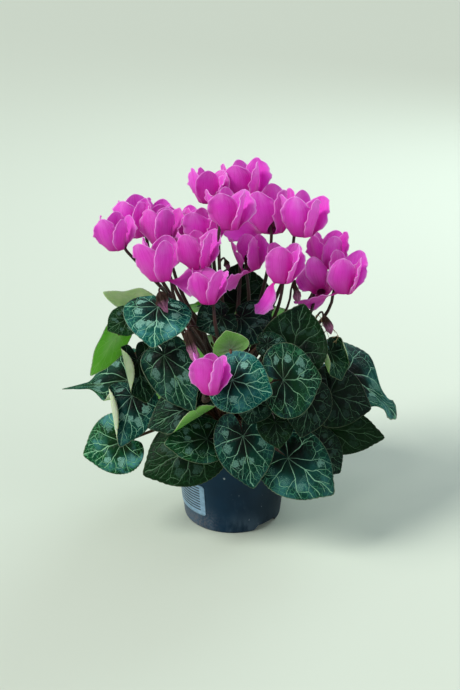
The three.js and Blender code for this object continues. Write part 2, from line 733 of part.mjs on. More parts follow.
function potRadiusAt(z) {
  const t = z / (POT_HEIGHT - POT_RIM_DEPTH);
  return POT_FOOT_RADIUS + (POT_TOP_RADIUS - POT_FOOT_RADIUS) * t;
}

// Label: a thin sheet that follows the pot's taper.
function labelSheet() {
  const columns = 8;
  const points = [];
  const normals = [];
  for (let j = 0; j <= 1; j++) {
    for (let i = 0; i <= columns; i++) {
      const angle = THREE.MathUtils.degToRad(LABEL_FROM + (LABEL_TO - LABEL_FROM) * i / columns);
      const z = j === 0 ? LABEL_LOW : LABEL_HIGH;
      const radius = potRadiusAt(z) + GAP + LABEL_THICKNESS / 2;
      points.push(new THREE.Vector3(Math.cos(angle) * radius, Math.sin(angle) * radius, z));
      normals.push(new THREE.Vector3(Math.cos(angle), Math.sin(angle), 0));
    }
  }
  const triangles = [];
  const row = columns + 1;
  for (let i = 0; i < columns; i++) {
    triangles.push([i, i + 1, row + i + 1], [i, row + i + 1, row + i]);
  }
  const rim = [];
  for (let i = 0; i <= columns; i++) {
    rim.push(i);
  }
  for (let i = columns; i >= 0; i--) {
    rim.push(row + i);
  }
  return thicken(points, normals, triangles, rim, LABEL_THICKNESS);
}

function tuberProfile(grow) {
  const middle = (TUBER_TOP + TUBER_BOTTOM) / 2;
  const half = (TUBER_TOP - TUBER_BOTTOM) / 2;
  const profile = [[0, TUBER_BOTTOM - grow]];
  for (let i = 1; i <= 6; i++) {
    const a = -Math.PI / 2 + Math.PI * i / 8;
    profile.push([Math.cos(a) * TUBER_RADIUS + grow, middle + Math.sin(a) * (half + grow)]);
  }
  profile.push([CROWN_FLAT, TUBER_TOP + grow]);
  profile.push([0, TUBER_TOP + grow]);
  return profile;
}

function soilBody() {
  const wall = POT_WALL + GAP;
  const profile = [
    [0, CHANNEL_HEIGHT + 2 + GAP],
    [POT_FOOT_RADIUS - wall - 1.4, CHANNEL_HEIGHT + 2 + GAP],
    [POT_TOP_RADIUS - wall - 0.8, SOIL_HEIGHT - 2],
    [POT_TOP_RADIUS - wall - 6, SOIL_HEIGHT],
    [34, SOIL_HEIGHT + 1.5],
    [0, SOIL_HEIGHT + 3],
  ];
  return solid(lathe(profile, 20)).subtract(solid(lathe(tuberProfile(GAP), 14)));
}

place('pot', geometryOf(potBody()), POT_COLOUR, 0.6);
place('label', labelSheet(), LABEL_COLOUR, 0.5);
place('soil', geometryOf(soilBody()), SOIL_COLOUR, 0.95);
place('tuber', geometryOf(solid(lathe(tuberProfile(0), 14))), TUBER_COLOUR, 0.9);

function backLeaves(tier) {
  const leaves = [];
  for (let i = 0; i < tier.count; i++) {
    const azimuth = tier.from + tier.step * i;
    const lift = i % 2 === 0 ? 1 : -1;
    const near = direction([azimuth, 0]).multiplyScalar(tier.near);
    const far = direction([azimuth + 4 * lift, 0]).multiplyScalar(tier.far + 3 * lift);
    near.z = tier.high;
    far.z = tier.low;
    const face = [azimuth, tier.face];
    leaves.push({ joint: near, point: far, face, wide: tier.wide, arch: 0.3, wave: 1 });
  }
  return leaves;
}

const back = BACK_TIERS.map((tier) => ({ name: tier.name, leaves: backLeaves(tier) }));
const everyLeaf = [...LEAVES, ...back.flatMap((tier) => tier.leaves)];

const crownRing = lathe([
  [CORE_RADIUS + GAP, TUBER_TOP + GAP],
  [CROWN_FLAT, TUBER_TOP + GAP],
  [CROWN_FLAT - 1.5, TUBER_TOP + GAP + CROWN_HEIGHT],
  [CORE_RADIUS + GAP, TUBER_TOP + GAP + CROWN_HEIGHT],
  [CORE_RADIUS + GAP, TUBER_TOP + GAP],
], 20);
const crownCore = lathe([
  [0, TUBER_TOP + GAP],
  [CORE_RADIUS, TUBER_TOP + GAP],
  [CORE_RADIUS, TUBER_TOP + GAP + CROWN_HEIGHT],
  [0, TUBER_TOP + GAP + CROWN_HEIGHT],
], 16);

place('leaf_stalks', geometryOf(joined([crownRing, ...everyLeaf.map(leafStalk)])), LEAF_STALK_COLOUR, 0.6);
place(
  'flower_stalks',
  geometryOf(joined([
    crownCore,
    ...BLOOMS.map(flowerStalk),
    ...FADED.flatMap(fadedFlower),
  ])),
  FLOWER_STALK_COLOUR,
  0.6,
);

for (const leaf of LEAVES) {
  place(leaf.name, blade(leaf), LEAF_COLOUR, 0.45);
}
for (const tier of back) {
  place(tier.name, geometryOf(joined(tier.leaves.map(blade))), LEAF_COLOUR, 0.45);
}
BLOOMS.forEach((bloom, i) => {
  place('bloom_' + String(i + 1).padStart(2, '0'), corolla(bloom), PETAL_COLOUR, 0.6);
});

export default root;
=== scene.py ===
"""Looks of a potted cyclamen: marbled leaves, magenta blooms, stalks, tuber, soil, pot and label.

Lengths inside the shape functions are millimetres, as in the tables below, and turn into metres
when a mesh is finished. Angles are degrees. -Y is the front of the plant and +Z is up.
"""

import math
import random

import bmesh
import bpy
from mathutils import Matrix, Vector, noise


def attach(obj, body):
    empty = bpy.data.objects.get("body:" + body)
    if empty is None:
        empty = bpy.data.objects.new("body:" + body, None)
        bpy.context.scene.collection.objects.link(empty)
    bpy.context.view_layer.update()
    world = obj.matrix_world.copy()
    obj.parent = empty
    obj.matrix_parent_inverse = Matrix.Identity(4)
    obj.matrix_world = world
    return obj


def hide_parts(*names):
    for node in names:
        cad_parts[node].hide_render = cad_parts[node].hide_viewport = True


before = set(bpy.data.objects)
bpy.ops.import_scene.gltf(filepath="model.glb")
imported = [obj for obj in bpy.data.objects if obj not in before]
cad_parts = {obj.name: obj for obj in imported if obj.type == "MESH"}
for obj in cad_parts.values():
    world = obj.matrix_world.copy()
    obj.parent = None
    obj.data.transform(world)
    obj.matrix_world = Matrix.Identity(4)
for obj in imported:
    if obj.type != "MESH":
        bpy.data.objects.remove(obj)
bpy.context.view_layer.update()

bl_info = {
    "name": "Potted Cyclamen",
    "version": (1, 0, 0),
    "blender": (4, 5, 0),
    "location": "3D View > Sidebar > Cyclamen",
    "description": "Builds the leaves, blooms, stalks, pot and stage of a potted cyclamen",
    "category": "Object",
}

MM = 0.001
# Points of one mesh that lie closer than this are one point.
MERGE = 1e-3
SPIN_MERGE = 1e-4

# The viewpoint from which the tables' positions are read: across and down in the picture, and
# the depth in millimetres behind the pot's axis, below 0 in front of it.
VIEW_PLACE = Vector((-2.4, -1000.0, 600.0))
VIEW_TILT = 22.9
PICTURE_SCALE = 1150.0
PICTURE_MIDDLE = (230.0, 345.0)
PICTURE_HEIGHT = 690.0

# Stage, in metres
FLOOR_HALF = 14.0
SKY_COLOUR = (0.86, 0.93, 1.0, 1.0)
KEY_DIRECTION = (1.0, 0.42, -1.05)
KEY_SOFTNESS = 24.0
KEY_COLOUR = (1.0, 0.98, 0.95)
BACK_LAMP = dict(place=(0.9, 1.3, 1.3), size=1.2, colour=(0.8, 0.93, 1.0))
SIDE_LAMP = dict(place=(1.3, -0.8, 0.9), size=1.4, colour=(1.0, 0.96, 0.98))
LAMP_AIM = (0.0, 0.0, 0.17)
SENSOR_HEIGHT = 36.0
CLIP_START = 0.05
CLIP_END = 20.0

# Pot
POT_HEIGHT = 95.0
POT_RIM_RADIUS = 59.5
POT_TOP_RADIUS = 56.4
POT_FOOT_RADIUS = 47.6
POT_WALL = 1.5
POT_RIM_DEPTH = 9.0
POT_STEP = POT_HEIGHT - POT_RIM_DEPTH
POT_SEGMENTS = 160
WALL_HEIGHTS = (3, 6, 9, 14, 22, 30, 38, 46, 54, 62, 70, 78)
FOOT_WIDTH = 5.0
CHANNEL_HEIGHT = 5.0
CHANNEL_MIDDLE = 30.0
FLOOR_TOP = CHANNEL_HEIGHT + 2.0
CENTRE_RADIUS = 24.0
NOTCH_WIDTH = 26.0
NOTCH_ANGLES = (-45.0, 135.0)
HOLE_COUNT = 4
HOLE_RADIUS = 3.2
HOLE_RING = 33.8
HOLE_CUT_DEPTH = 12.0
GAP = 0.3
# Middle of a small pale fleck on the pot's front, in metres, with half of its ragged shift.
FLECK = (-0.006, -0.0516, 0.0657)

# Label
LABEL_FROM = 184.0
LABEL_TO = 239.0
LABEL_LOW = 16.0
LABEL_HIGH = 50.0
LABEL_THICKNESS = 0.3
LABEL_BARS = 11.0
LABEL_COLUMNS = 40
LABEL_ROWS = 16
LABEL_MARGIN = 0.12

# Soil, tuber and the crowns that the stalks grow from
SOIL_HEIGHT = 82.0
SOIL_DOME = 1.6
SOIL_FALL = 0.0016
TUBER_RADIUS = 27.0
TUBER_TOP = 93.0
TUBER_BOTTOM = 64.0
CROWN_FLAT = 17.5
CROWN_HEIGHT = 7.0
CORE_RADIUS = 9.0
CROWN_BASE = TUBER_TOP + GAP
CROWN_TOP = CROWN_BASE + CROWN_HEIGHT
ROOT_HEIGHT = CROWN_TOP - 3.0

# Stalks: how many steps their lines have, and the radius of a strand and of a faded flower's stalk
LEAF_STALK_STEPS = 18
FLOWER_STALK_STEPS = 16
FADED_STALK_STEPS = 14
FADED_STALK_RADIUS = 1.7
FADED_STALK_LEAST = 0.9
STRAND_RADIUS = 0.46
STRAND_STEPS = 10
STRAND_CURL = 3.2
CALYX_THICKNESS = 0.5
CURL_SHIFTS = (0.0, 31.7, 63.1)

# Blooms: the mouth to the tips of one of common size, where a petal is widest along its length,
# its slope at the mouth, the turn up at its knee and the turn from there to the tip.
BLOOM_HEIGHT = 38.0
PETAL_COUNT = 5
PETAL_ANGLE = 360.0 / PETAL_COUNT
PETAL_WIND = 4.2
PETAL_KNEE = 0.16
PETAL_WIDEST = 0.54
PETAL_TAIL = 0.46
PETAL_DIP = -25
PETAL_UPTURN = 94
PETAL_SWEEP = 34
PETAL_FRILL = 0.85
PETAL_ROWS = 24
PETAL_COLUMNS = 14
TUBE_ROWS = 6
BLOOM_SEED = 40

# Leaf blades: the half angle that the edge spans, and the distance from the joint to the edge
# against the length, in even steps from the tip.
BLADE_SPREAD = 173.0
BLADE_COLUMNS = 96
BLADE_ROWS = 20
OUTLINE_STEP = 15.0
OUTLINE = (1, 0.87, 0.8, 0.75, 0.715, 0.685, 0.66, 0.635, 0.61, 0.58, 0.53, 0.43, 0.1)

# Leaves seen from the front. at: joint of stalk and blade. tip: the blade's point. face: azimuth
# and elevation of the upper side. wide: width against length. cup: bend across, edges down above
# 0. arch: bend along, tip down above 0. wave: height of the edge's waves. lobe: length of the lobes
# beside the joint. nose: how far the tip is narrowed. flag: how far it widens again. via: a point
# the stalk leans towards. rolls: each the side of the blade that curls over, where it starts and
# its radius. tone: how dark the blade is coloured, its own colour together with painted shade, 0
# dark, 1 bright. teal: 0 green, 1 blue-green. pale: paleness underneath.
LEAVES = (
    dict(name="leaf_low_middle", at=(243, 436, -86), tip=(253, 489, -106), face=(-93, 22),
         wide=0.84, cup=0.25, arch=0.2, wave=1.2, tone=0.4, teal=0.6),
    dict(name="leaf_low_right", at=(288, 458, -80), tip=(334, 493, -98), face=(-76, 26),
         wide=0.92, cup=0.2, arch=0.15, wave=1.4, tone=0.55, teal=0.6),
    dict(name="leaf_low_far_right", at=(318, 448, -62), tip=(341, 472, -68), face=(-60, 20),
         wide=1.1, cup=0.3, arch=0.2, wave=1.0, tone=0.15, teal=0.3),
    dict(name="leaf_right_of_middle", at=(309, 398, -88), tip=(303, 437, -106), face=(-80, 26),
         wide=0.95, cup=0.3, arch=0.3, wave=0.8, tone=0.12, teal=0.4),
    dict(name="leaf_centre_right", at=(283, 380, -96), tip=(323, 377, -90), face=(-82, 34),
         wide=1.42, cup=0.25, arch=0.25, wave=1.6, tone=0.44, teal=0.3),
    dict(name="leaf_under_centre", at=(255, 402, -94), tip=(248, 424, -104), face=(-92, 28),
         wide=1.25, cup=0.2, arch=0.2, wave=0.8, tone=0.2, teal=0.5),
    dict(name="leaf_small_middle", at=(275, 422, -95), tip=(279, 448, -107), face=(-85, 18),
         wide=1.05, cup=0.3, arch=0.2, wave=0.6, tone=0.1, teal=0.2),
    dict(name="leaf_centre", at=(232, 380, -108), tip=(272, 393, -114), face=(-94, 36),
         wide=1.15, cup=0.25, arch=0.15, wave=1.2, tone=0.8, teal=0.8),
    dict(name="leaf_tall_left", at=(164, 355, -60), tip=(192, 411, -92), face=(-98, 12),
         wide=0.66, cup=-0.3, arch=0.1, wave=1.0, lobe=0.42, tone=0.36, teal=0.4, pale=0.6,
         rolls=((-90, 17, 5), (90, 18, 6)), via=(164, 355, -60)),
    dict(name="leaf_curled_left", at=(137, 360, -50), tip=(147, 402, -66), face=(-70, 18),
         wide=0.95, cup=-0.5, arch=0.1, wave=1.0, lobe=0.85, tone=0.2, teal=0.25, pale=0.9,
         rolls=((-90, 9, 4.2),)),
    dict(name="leaf_edge_left", at=(197, 403, -76), tip=(149, 427, -86), face=(-95, 42),
         wide=0.8, cup=0.1, arch=0.0, wave=1.0, lobe=0.7, tone=0.24, teal=0.4, pale=0.1,
         rolls=((96, 8, 4.5),)),
    dict(name="leaf_pointed_left", at=(207, 439, -74), tip=(166, 443, -90), face=(-95, 44),
         wide=0.85, cup=0.2, arch=0.1, wave=1.0, tone=0.4, teal=0.1),
    dict(name="leaf_low_left", at=(197, 446, -66), tip=(143, 474, -82), face=(-95, 30),
         wide=0.88, cup=0.25, arch=0.2, wave=1.4, tone=0.13, teal=0.05),
    dict(name="leaf_far_low_left", at=(122, 442, -52), tip=(84, 455, -56), face=(-98, 26),
         wide=1.15, cup=0.2, arch=0.1, wave=1.6, tone=1.0, teal=0.15),
    dict(name="leaf_shield_left", at=(132, 396, -46), tip=(119, 446, -70), face=(-100, 14),
         wide=0.85, cup=0.3, arch=0.1, wave=1.0, lobe=0.5, tone=0.5, teal=0.75, pale=1.0,
         rolls=((-66, 16, 3.8),), via=(132, 396, -46)),
    dict(name="leaf_nosed_left", at=(128, 380, -18), tip=(64, 389, -18), face=(-100, 40),
         wide=0.8, cup=0.2, arch=0.0, wave=0.4, nose=0.86, tone=0.6, teal=0.3, pale=1.0,
         rolls=((90, 12, 6),)),
    dict(name="leaf_green_back_left", at=(117, 334, -26), tip=(92, 375, -46), face=(128, 16),
         wide=0.66, cup=0.2, arch=0.0, wave=0.6, tone=0.6, teal=0.2, pale=0.1),
    dict(name="leaf_pale_back_left", at=(137, 308, -4), tip=(104, 292, -12), face=(110, 24),
         wide=0.95, cup=0.2, arch=0.0, wave=0.6, nose=0.45, tone=0.9, teal=0.5, pale=1.0,
         rolls=((-80, 8, 5),)),
    dict(name="leaf_small_left", at=(127, 319, -42), tip=(108, 330, -52), face=(-110, 28),
         wide=1.1, cup=0.3, arch=0.1, wave=0.5, tone=0.3, teal=0.0),
    dict(name="leaf_upper_left", at=(158, 307, -62), tip=(151, 345, -84), face=(-98, 40),
         wide=1.3, cup=0.2, arch=0.2, wave=2.2, lobe=0.6, tone=0.9, teal=0.75),
    dict(name="leaf_dark_right", at=(330, 394, -50), tip=(371, 408, -52), face=(-72, 34),
         wide=1.1, cup=0.25, arch=0.1, wave=0.8, tone=0.08, teal=0.3),
    dict(name="leaf_lower_right", at=(327, 428, -40), tip=(384, 437, -46), face=(-72, 28),
         wide=0.66, cup=0.3, arch=0.1, wave=1.2, tone=0.06, teal=0.0),
    dict(name="leaf_long_right", at=(345, 374, -24), tip=(410, 410, -32), face=(-62, 46),
         wide=0.8, cup=0.3, arch=0.25, wave=1.6, nose=0.66, flag=1.8, tone=0.7, teal=0.6,
         rolls=((0, 62, -10),)),
    dict(name="leaf_small_right", at=(330, 352, -46), tip=(341, 380, -58), face=(-60, 24),
         wide=1.05, cup=-0.3, arch=0.0, wave=1.4, tone=0.35, teal=0.1, pale=0.7,
         rolls=((-90, 8, 3.4), (90, 9, 3.4))),
    dict(name="leaf_upper_right", at=(292, 352, -62), tip=(303, 305, -44), face=(-92, 10),
         wide=1.05, cup=-0.2, arch=-0.1, wave=2.2, tone=0.08, teal=0.15),
    dict(name="leaf_small_centre", at=(267, 344, -68), tip=(289, 347, -70), face=(-88, 44),
         wide=0.95, cup=0.2, arch=0.1, wave=0.6, tone=0.3, teal=0.4),
    dict(name="leaf_olive_back", at=(231, 350, -84), tip=(227, 331, -76), face=(92, 36),
         wide=1.5, cup=-0.2, arch=0.1, wave=1.0, lobe=0.45, tone=0.14, teal=0.0, pale=0.1,
         via=(231, 350, -114)),
    dict(name="leaf_upper_middle", at=(241, 318, -36), tip=(266, 341, -54), face=(-86, 52),
         wide=1.3, cup=0.2, arch=0.1, wave=1.2, lobe=0.7, tone=0.3, teal=0.5),
    dict(name="leaf_dark_back", at=(237, 305, 36), tip=(241, 264, 46), face=(-92, 34),
         wide=1.35, cup=0.2, arch=0.1, wave=1.2, tone=0.08, teal=0.2),
    dict(name="leaf_upper_inner", at=(221, 317, -52), tip=(197, 327, -62), face=(-96, 50),
         wide=1.3, cup=0.2, arch=0.1, wave=1.0, tone=0.25, teal=0.4, via=(233, 327, -62)),
)

# Leaves behind, in tiers: first azimuth, step and count, then the joints' and the tips' distance
# from the axis and height.
BACK_TIERS = (
    dict(name="leaves_back_upper", first=58, step=34, count=3,
         near=72, far=114, high=192, low=172, face=60, wide=1.25),
    dict(name="leaves_back_middle", first=26, step=40, count=4,
         near=78, far=126, high=150, low=122, face=38, wide=1.0),
    dict(name="leaves_back_lower", first=46, step=44, count=3,
         near=76, far=114, high=112, low=68, face=24, wide=1.1),
)

# Blooms: eye is the mouth, top the middle of the petals' tips, gap the side on which the stalk
# comes up, flare how far the tips lean out, knee how far along the petals turn up, via a point
# that the stalk leans towards. odd: one petal that stands apart, bend how far it hangs out, roll
# how far it is turned, slim and short its width and length against the others.
BLOOMS = (
    dict(eye=(118, 249, -14), top=(112, 214, -12), gap=-20, flare=1, via=(163, 292, -20)),
    dict(eye=(137, 236, 24), top=(132, 196, 26), gap=-20, flare=-3),
    dict(eye=(156, 238, 52), top=(157, 199, 54), gap=-40, flare=0),
    dict(eye=(162, 244, -6), top=(161, 206, -2), gap=40, flare=0),
    dict(eye=(184, 243, 26), top=(183, 207, 28), gap=30, flare=2),
    dict(eye=(204, 246, -6), top=(203, 207, -4), gap=60, flare=2),
    dict(eye=(162, 280, -58), top=(158, 236, -52), gap=40, flare=4, odd=4, bend=72, roll=50),
    dict(eye=(199, 268, -43), top=(195, 230, -38), gap=60, flare=6),
    dict(eye=(208, 304, -70), top=(208, 268, -62), gap=54, flare=12, knee=0.1, via=(216, 356, -92)),
    dict(eye=(208, 203, 24), top=(210, 167, 30), gap=-60, flare=10),
    dict(eye=(246, 203, 52), top=(241, 160, 54), gap=140, flare=2),
    dict(eye=(228, 229, -32), top=(229, 187, -26), gap=-150, flare=6),
    dict(eye=(271, 232, 24), top=(272, 185, 28), gap=-90, flare=4, odd=3, bend=62, roll=70),
    dict(eye=(302, 235, -14), top=(305, 193, -12), gap=132, flare=5),
    dict(eye=(251, 270, -16), top=(244, 234, -10), gap=126, flare=4, odd=1, bend=76, roll=40),
    dict(eye=(281, 282, -44), top=(284, 241, -38), gap=75, flare=4,
         odd=1, bend=140, roll=-40, slim=0.7, short=0.86),
    dict(eye=(329, 267, 26), top=(330, 230, 28), gap=170, flare=6),
    dict(eye=(321, 292, -14), top=(316, 268, 16), gap=130, flare=4),
    dict(eye=(343, 292, -24), top=(346, 251, -20), gap=150, flare=2, odd=0, bend=94, roll=32, slim=0.8),
    dict(eye=(210, 394, -130), top=(212, 355, -122), gap=126, flare=2, knee=0.09, via=(197, 420, -104)),
)

# Faded flowers and buds: the hook's top, the lower end, a point of the stalk behind the hook.
FADED = (
    dict(hook=(159, 290, -72), end=(168, 313, -76), via=(167, 292, -34), thick=5.6),
    dict(hook=(188, 328, -84), end=(197, 366, -104), via=(204, 334, -48), thick=7.0),
    dict(hook=(295, 281, -34), end=(297, 303, -40), via=(291, 290, -26), thick=4.5),
    dict(hook=(322, 312, -34), end=(331, 335, -36), via=(314, 322, -24), thick=3.8),
    dict(hook=(224, 258, -16), end=(229, 270, -18), via=(219, 264, -14), thick=2.2),
)

# Thin dry strands between the leaves: both ends and the point they bend over.
STRANDS = (
    dict(start=(314, 346, -34), over=(320, 320, -30), end=(331, 342, -32)),
    dict(start=(316, 344, -32), over=(330, 328, -32), end=(340, 340, -34)),
    dict(start=(318, 348, -36), over=(325, 316, -28), end=(335, 334, -32)),
    dict(start=(320, 346, -32), over=(337, 334, -38), end=(332, 348, -40)),
    dict(start=(316, 342, -34), over=(317, 314, -32), end=(326, 328, -30)),
    dict(start=(322, 350, -38), over=(335, 340, -40), end=(327, 346, -40)),
)

# Veins of one half of a blade, from the joint at 0, 0 with the tip at 0, 1: both ends and width.
VEINS = (
    ((0.0, 0.0), (0.0, 0.5), 1.0),
    ((0.0, 0.5), (0.0, 0.96), 0.8),
    ((0.0, 0.0), (0.23, 0.3), 0.75),
    ((0.23, 0.3), (0.38, 0.5), 0.6),
    ((0.38, 0.5), (0.42, 0.64), 0.4),
    ((0.0, 0.0), (0.36, 0.04), 0.65),
    ((0.36, 0.04), (0.64, 0.1), 0.45),
    ((0.0, 0.0), (0.26, -0.2), 0.55),
    ((0.26, -0.2), (0.48, -0.3), 0.4),
    ((0.26, -0.2), (0.26, -0.44), 0.35),
    ((0.0, 0.33), (0.13, 0.54), 0.6),
    ((0.13, 0.54), (0.19, 0.8), 0.45),
    ((0.0, 0.64), (0.1, 0.84), 0.4),
    ((0.13, 0.54), (0.27, 0.63), 0.35),
    ((0.27, 0.63), (0.38, 0.5), 0.35),
    ((0.27, 0.63), (0.3, 0.74), 0.3),
    ((0.23, 0.3), (0.42, 0.3), 0.4),
    ((0.42, 0.3), (0.56, 0.38), 0.3),
    ((0.42, 0.3), (0.5, 0.17), 0.35),
    ((0.5, 0.17), (0.36, 0.04), 0.3),
    ((0.36, 0.04), (0.49, -0.12), 0.35),
    ((0.49, -0.12), (0.39, -0.26), 0.3),
)

# Pale patches between the veins of one half: middle, size and which chance shows them.
PATCHES = (
    ((0.1, 0.44), 0.07, 0),
    ((0.27, 0.46), 0.09, 1),
    ((0.37, 0.17), 0.085, 2),
    ((0.36, -0.1), 0.07, 0),
)


def tint(code):
    """A colour written as six hex digits, as the linear red, green and blue that shaders take."""
    values = [int(code[i:i + 2], 16) / 255 for i in (0, 2, 4)]
    return tuple(v / 12.92 if v <= 0.04045 else ((v + 0.055) / 1.055) ** 2.4 for v in values)


# Second colours of the finishes, beside those that the settings hold
LEAF_SHADOW = tint("0a2a0b")
# Painted shade that dims the darker leaves
LEAF_PAINTED_SHADE = tint("000603")
GREEN_GLOW = tint("2a7a3c")
TEAL_GLOW = tint("2f7f74")
GREEN_WEB = tint("4f9a5f")
TEAL_WEB = tint("57a58b")
GREEN_VEIN = tint("93c998")
UNDER_MIDDLE = tint("a9cba6")
UNDER_PATCH = tint("4c8f2c")
UNDER_VEIN = tint("b4cc9a")
# Painted shade under the darker leaves
UNDER_SHADE = tint("121d0c")
# Dark eye of the petals, deepened with painted shade
PETAL_EYE_AND_SHADE = tint("4c0838")
# Painted highlight along the petal rims
PETAL_RIM_HIGHLIGHT = tint("f3b4ec")
STALK_STREAK = tint("5d4034")
LEAF_STALK_PATCH = tint("57331f")
FLOWER_STALK_PATCH = tint("3c1c18")
STRAND_PALE = tint("b9a378")
STRAND_PATCH = tint("8a7048")
POT_PATCH = tint("042236")
# Painted light on the pot's lower left side
POT_PAINTED_LIGHT = tint("4c7088")
POT_EARTH = tint("6f6a70")
# Painted shade on the pot's right side
POT_SHADE = tint("0a1517")
POT_SCUFF = tint("9aa8b4")
POT_FLECK = tint("a4b2bc")
LABEL_WORN = tint("6486a2")
SOIL_CLUMP = tint("3b2a1e")
SOIL_GRIT = tint("8c8272")
TUBER_PATCH = tint("6d5540")
TUBER_CRACK = tint("231811")
FADED_BROWN = tint("33241b")
FADED_PATCH = tint("b58a86")
FADED_STREAK = tint("2c1a18")
CALYX_DARK = tint("33201d")
CALYX_PATCH = tint("4a4a26")


def length_property(name, description, millimetres):
    return bpy.props.FloatProperty(
        name=name, description=description, default=millimetres * MM, min=0.0,
        unit="LENGTH", subtype="DISTANCE",
    )


def factor_property(name, description, value):
    return bpy.props.FloatProperty(
        name=name, description=description, default=value, min=0.0, max=1.0, subtype="FACTOR"
    )


def colour_property(name, description, code):
    return bpy.props.FloatVectorProperty(
        name=name, description=description, default=tint(code), size=3, min=0.0, max=1.0,
        subtype="COLOR",
    )


def power_property(name, description, watts):
    return bpy.props.FloatProperty(name=name, description=description, default=watts, unit="POWER")


def strength_property(name, description, value):
    return bpy.props.FloatProperty(name=name, description=description, default=value, min=0.0)


class CyclamenLeafSettings(bpy.types.PropertyGroup):
    thickness: length_property("Blade thickness", "Thickness of a leaf blade", 0.55)
    tooth_depth: factor_property("Tooth depth", "Depth of the teeth against the leaf's length", 0.014)
    teeth: bpy.props.IntProperty(name="Teeth", description="Teeth round one blade", default=48, min=8)
    dark: colour_property("Dark green", "Blade near the joint", "03100a")
    middle: colour_property("Teal", "Blade between joint and edge, blue-green leaves", "05504e")
    green: colour_property("Green", "Blade between joint and edge, green leaves", "0a4618")
    # A painted bluish sheen, a reflection of the sky on the brightest blades
    sheen: colour_property("Sheen", "Bluish bloom on the brightest blades", "58a1a8")
    vein: colour_property("Vein", "Colour of the veins on the upper side", "9ad4b8")
    blotch: colour_property("Blotch", "Pale patches between the veins", "7fb4a2")
    edge: colour_property("Edge", "Thin line along the edge", "a3b08a")
    under: colour_property("Underside", "Lower side of the blade", "62a832")
    under_pale: colour_property("Pale underside", "Lower side of the palest blades", "bed0ac")


class CyclamenBloomSettings(bpy.types.PropertyGroup):
    petal_length: length_property("Petal length", "Length of a petal along its middle line", 42.0)
    petal_half_width: length_property("Petal half width", "Half of a petal's greatest width", 13.0)
    petal_thickness: length_property("Petal thickness", "Thickness of a petal", 0.5)
    mouth_radius: length_property("Mouth radius", "Radius of the mouth that the petals leave", 5.0)
    tube_height: length_property("Tube height", "Height of the short tube over the mouth", 7.0)
    petal: colour_property("Petal", "Main colour of a petal", "e22cc4")
    light: colour_property("Light edge", "Colour towards the tips and edges", "ef8ae0")
    deep: colour_property("Deep base", "Colour towards the mouth", "bc0488")


class CyclamenStalkSettings(bpy.types.PropertyGroup):
    leaf_root: length_property("Leaf stalk root", "Radius of a leaf stalk at the crown", 2.0)
    leaf_tip: length_property("Leaf stalk tip", "Radius of a leaf stalk under the blade", 1.2)
    flower_root: length_property("Flower stalk root", "Radius of a flower stalk at the crown", 3.0)
    flower_tip: length_property("Flower stalk tip", "Radius of a flower stalk at the hook", 1.45)
    flower: colour_property("Flower stalk", "Dark purple-brown of the flower stalks", "2a1413")
    leaf: colour_property("Leaf stalk", "Red-brown of the leaf stalks", "3a2018")
    faded: colour_property("Faded flower", "Withered pink of the faded petals", "a4688c")


class CyclamenPotSettings(bpy.types.PropertyGroup):
    plastic: colour_property("Pot", "Grey-blue moulded plastic", "05304a")
    dust: colour_property("Dust", "Pale dust and wear on the pot", "55697a")
    label: colour_property("Label", "Pale label stock", "93b8d4")
    bars: colour_property("Bars", "Printed bars on the label", "1d3144")
    soil: colour_property("Soil", "Dark peat", "1d1611")
    tuber: colour_property("Tuber", "Corky skin of the tuber", "4a3526")


class CyclamenStageSettings(bpy.types.PropertyGroup):
    floor: colour_property("Floor", "Pale floor", "ccd6c6")
    key: strength_property("Key light", "Strength of the key light", 2.8)
    back: power_property("Back light", "Power of the back light", 14.0)
    side: power_property("Side light", "Power of the side light", 3.5)
    sky: strength_property("Sky", "Strength of the even light", 0.42)


# Places, lines and meshes


def seen(point):
    """Picture position and depth to a place in millimetres."""
    across, down, depth = point
    tilt = math.radians(VIEW_TILT)
    a = (across - PICTURE_MIDDLE[0]) / PICTURE_SCALE
    b = (PICTURE_MIDDLE[1] - down) / PICTURE_SCALE
    forward = math.cos(tilt) + b * math.sin(tilt)
    rise = b * math.cos(tilt) - math.sin(tilt)
    t = (depth - VIEW_PLACE.y) / forward
    return Vector((VIEW_PLACE.x + a * t, depth, VIEW_PLACE.z + rise * t))


def direction(azimuth, elevation):
    a, e = math.radians(azimuth), math.radians(elevation)
    return Vector((math.cos(a) * math.cos(e), math.sin(a) * math.cos(e), math.sin(e)))


def curl(place):
    """A soft shift to all sides."""
    return Vector([noise.noise(place + Vector((shift, 0, 0))) for shift in CURL_SHIFTS])


def outwards(point):
    """The level direction from the plant's axis towards a point."""
    away = math.atan2(point.y, point.x)
    return Vector((math.cos(away), math.sin(away), 0))


def smoothstep(x, low, high):
    """Rises softly from 0 at low to 1 at high."""
    t = min(1.0, max(0.0, (x - low) / (high - low)))
    return t * t * (3 - 2 * t)


def bezier(a, b, c, d, steps):
    """A line from a to d that leaves towards b and arrives from c."""
    points = []
    for i in range(steps + 1):
        t = i / steps
        u = 1 - t
        points.append(a * u ** 3 + b * 3 * u * u * t + c * 3 * u * t * t + d * t ** 3)
    return points


def rounded(points, steps):
    """A smooth line through the points."""
    line = []
    for i in range(len(points) - 1):
        before = points[max(i - 1, 0)]
        after = points[min(i + 2, len(points) - 1)]
        a, b = points[i], points[i + 1]
        for k in range(steps):
            t = k / steps
            line.append(
                (a * 2 + (b - before) * t + (before * 2 - a * 5 + b * 4 - after) * t ** 2
                 + (a * 3 - before - b * 3 + after) * t ** 3) * 0.5
            )
    line.append(points[-1].copy())
    return line


def linked(name, data):
    """A new object in the scene."""
    obj = bpy.data.objects.new(name, data)
    bpy.context.scene.collection.objects.link(obj)
    return obj


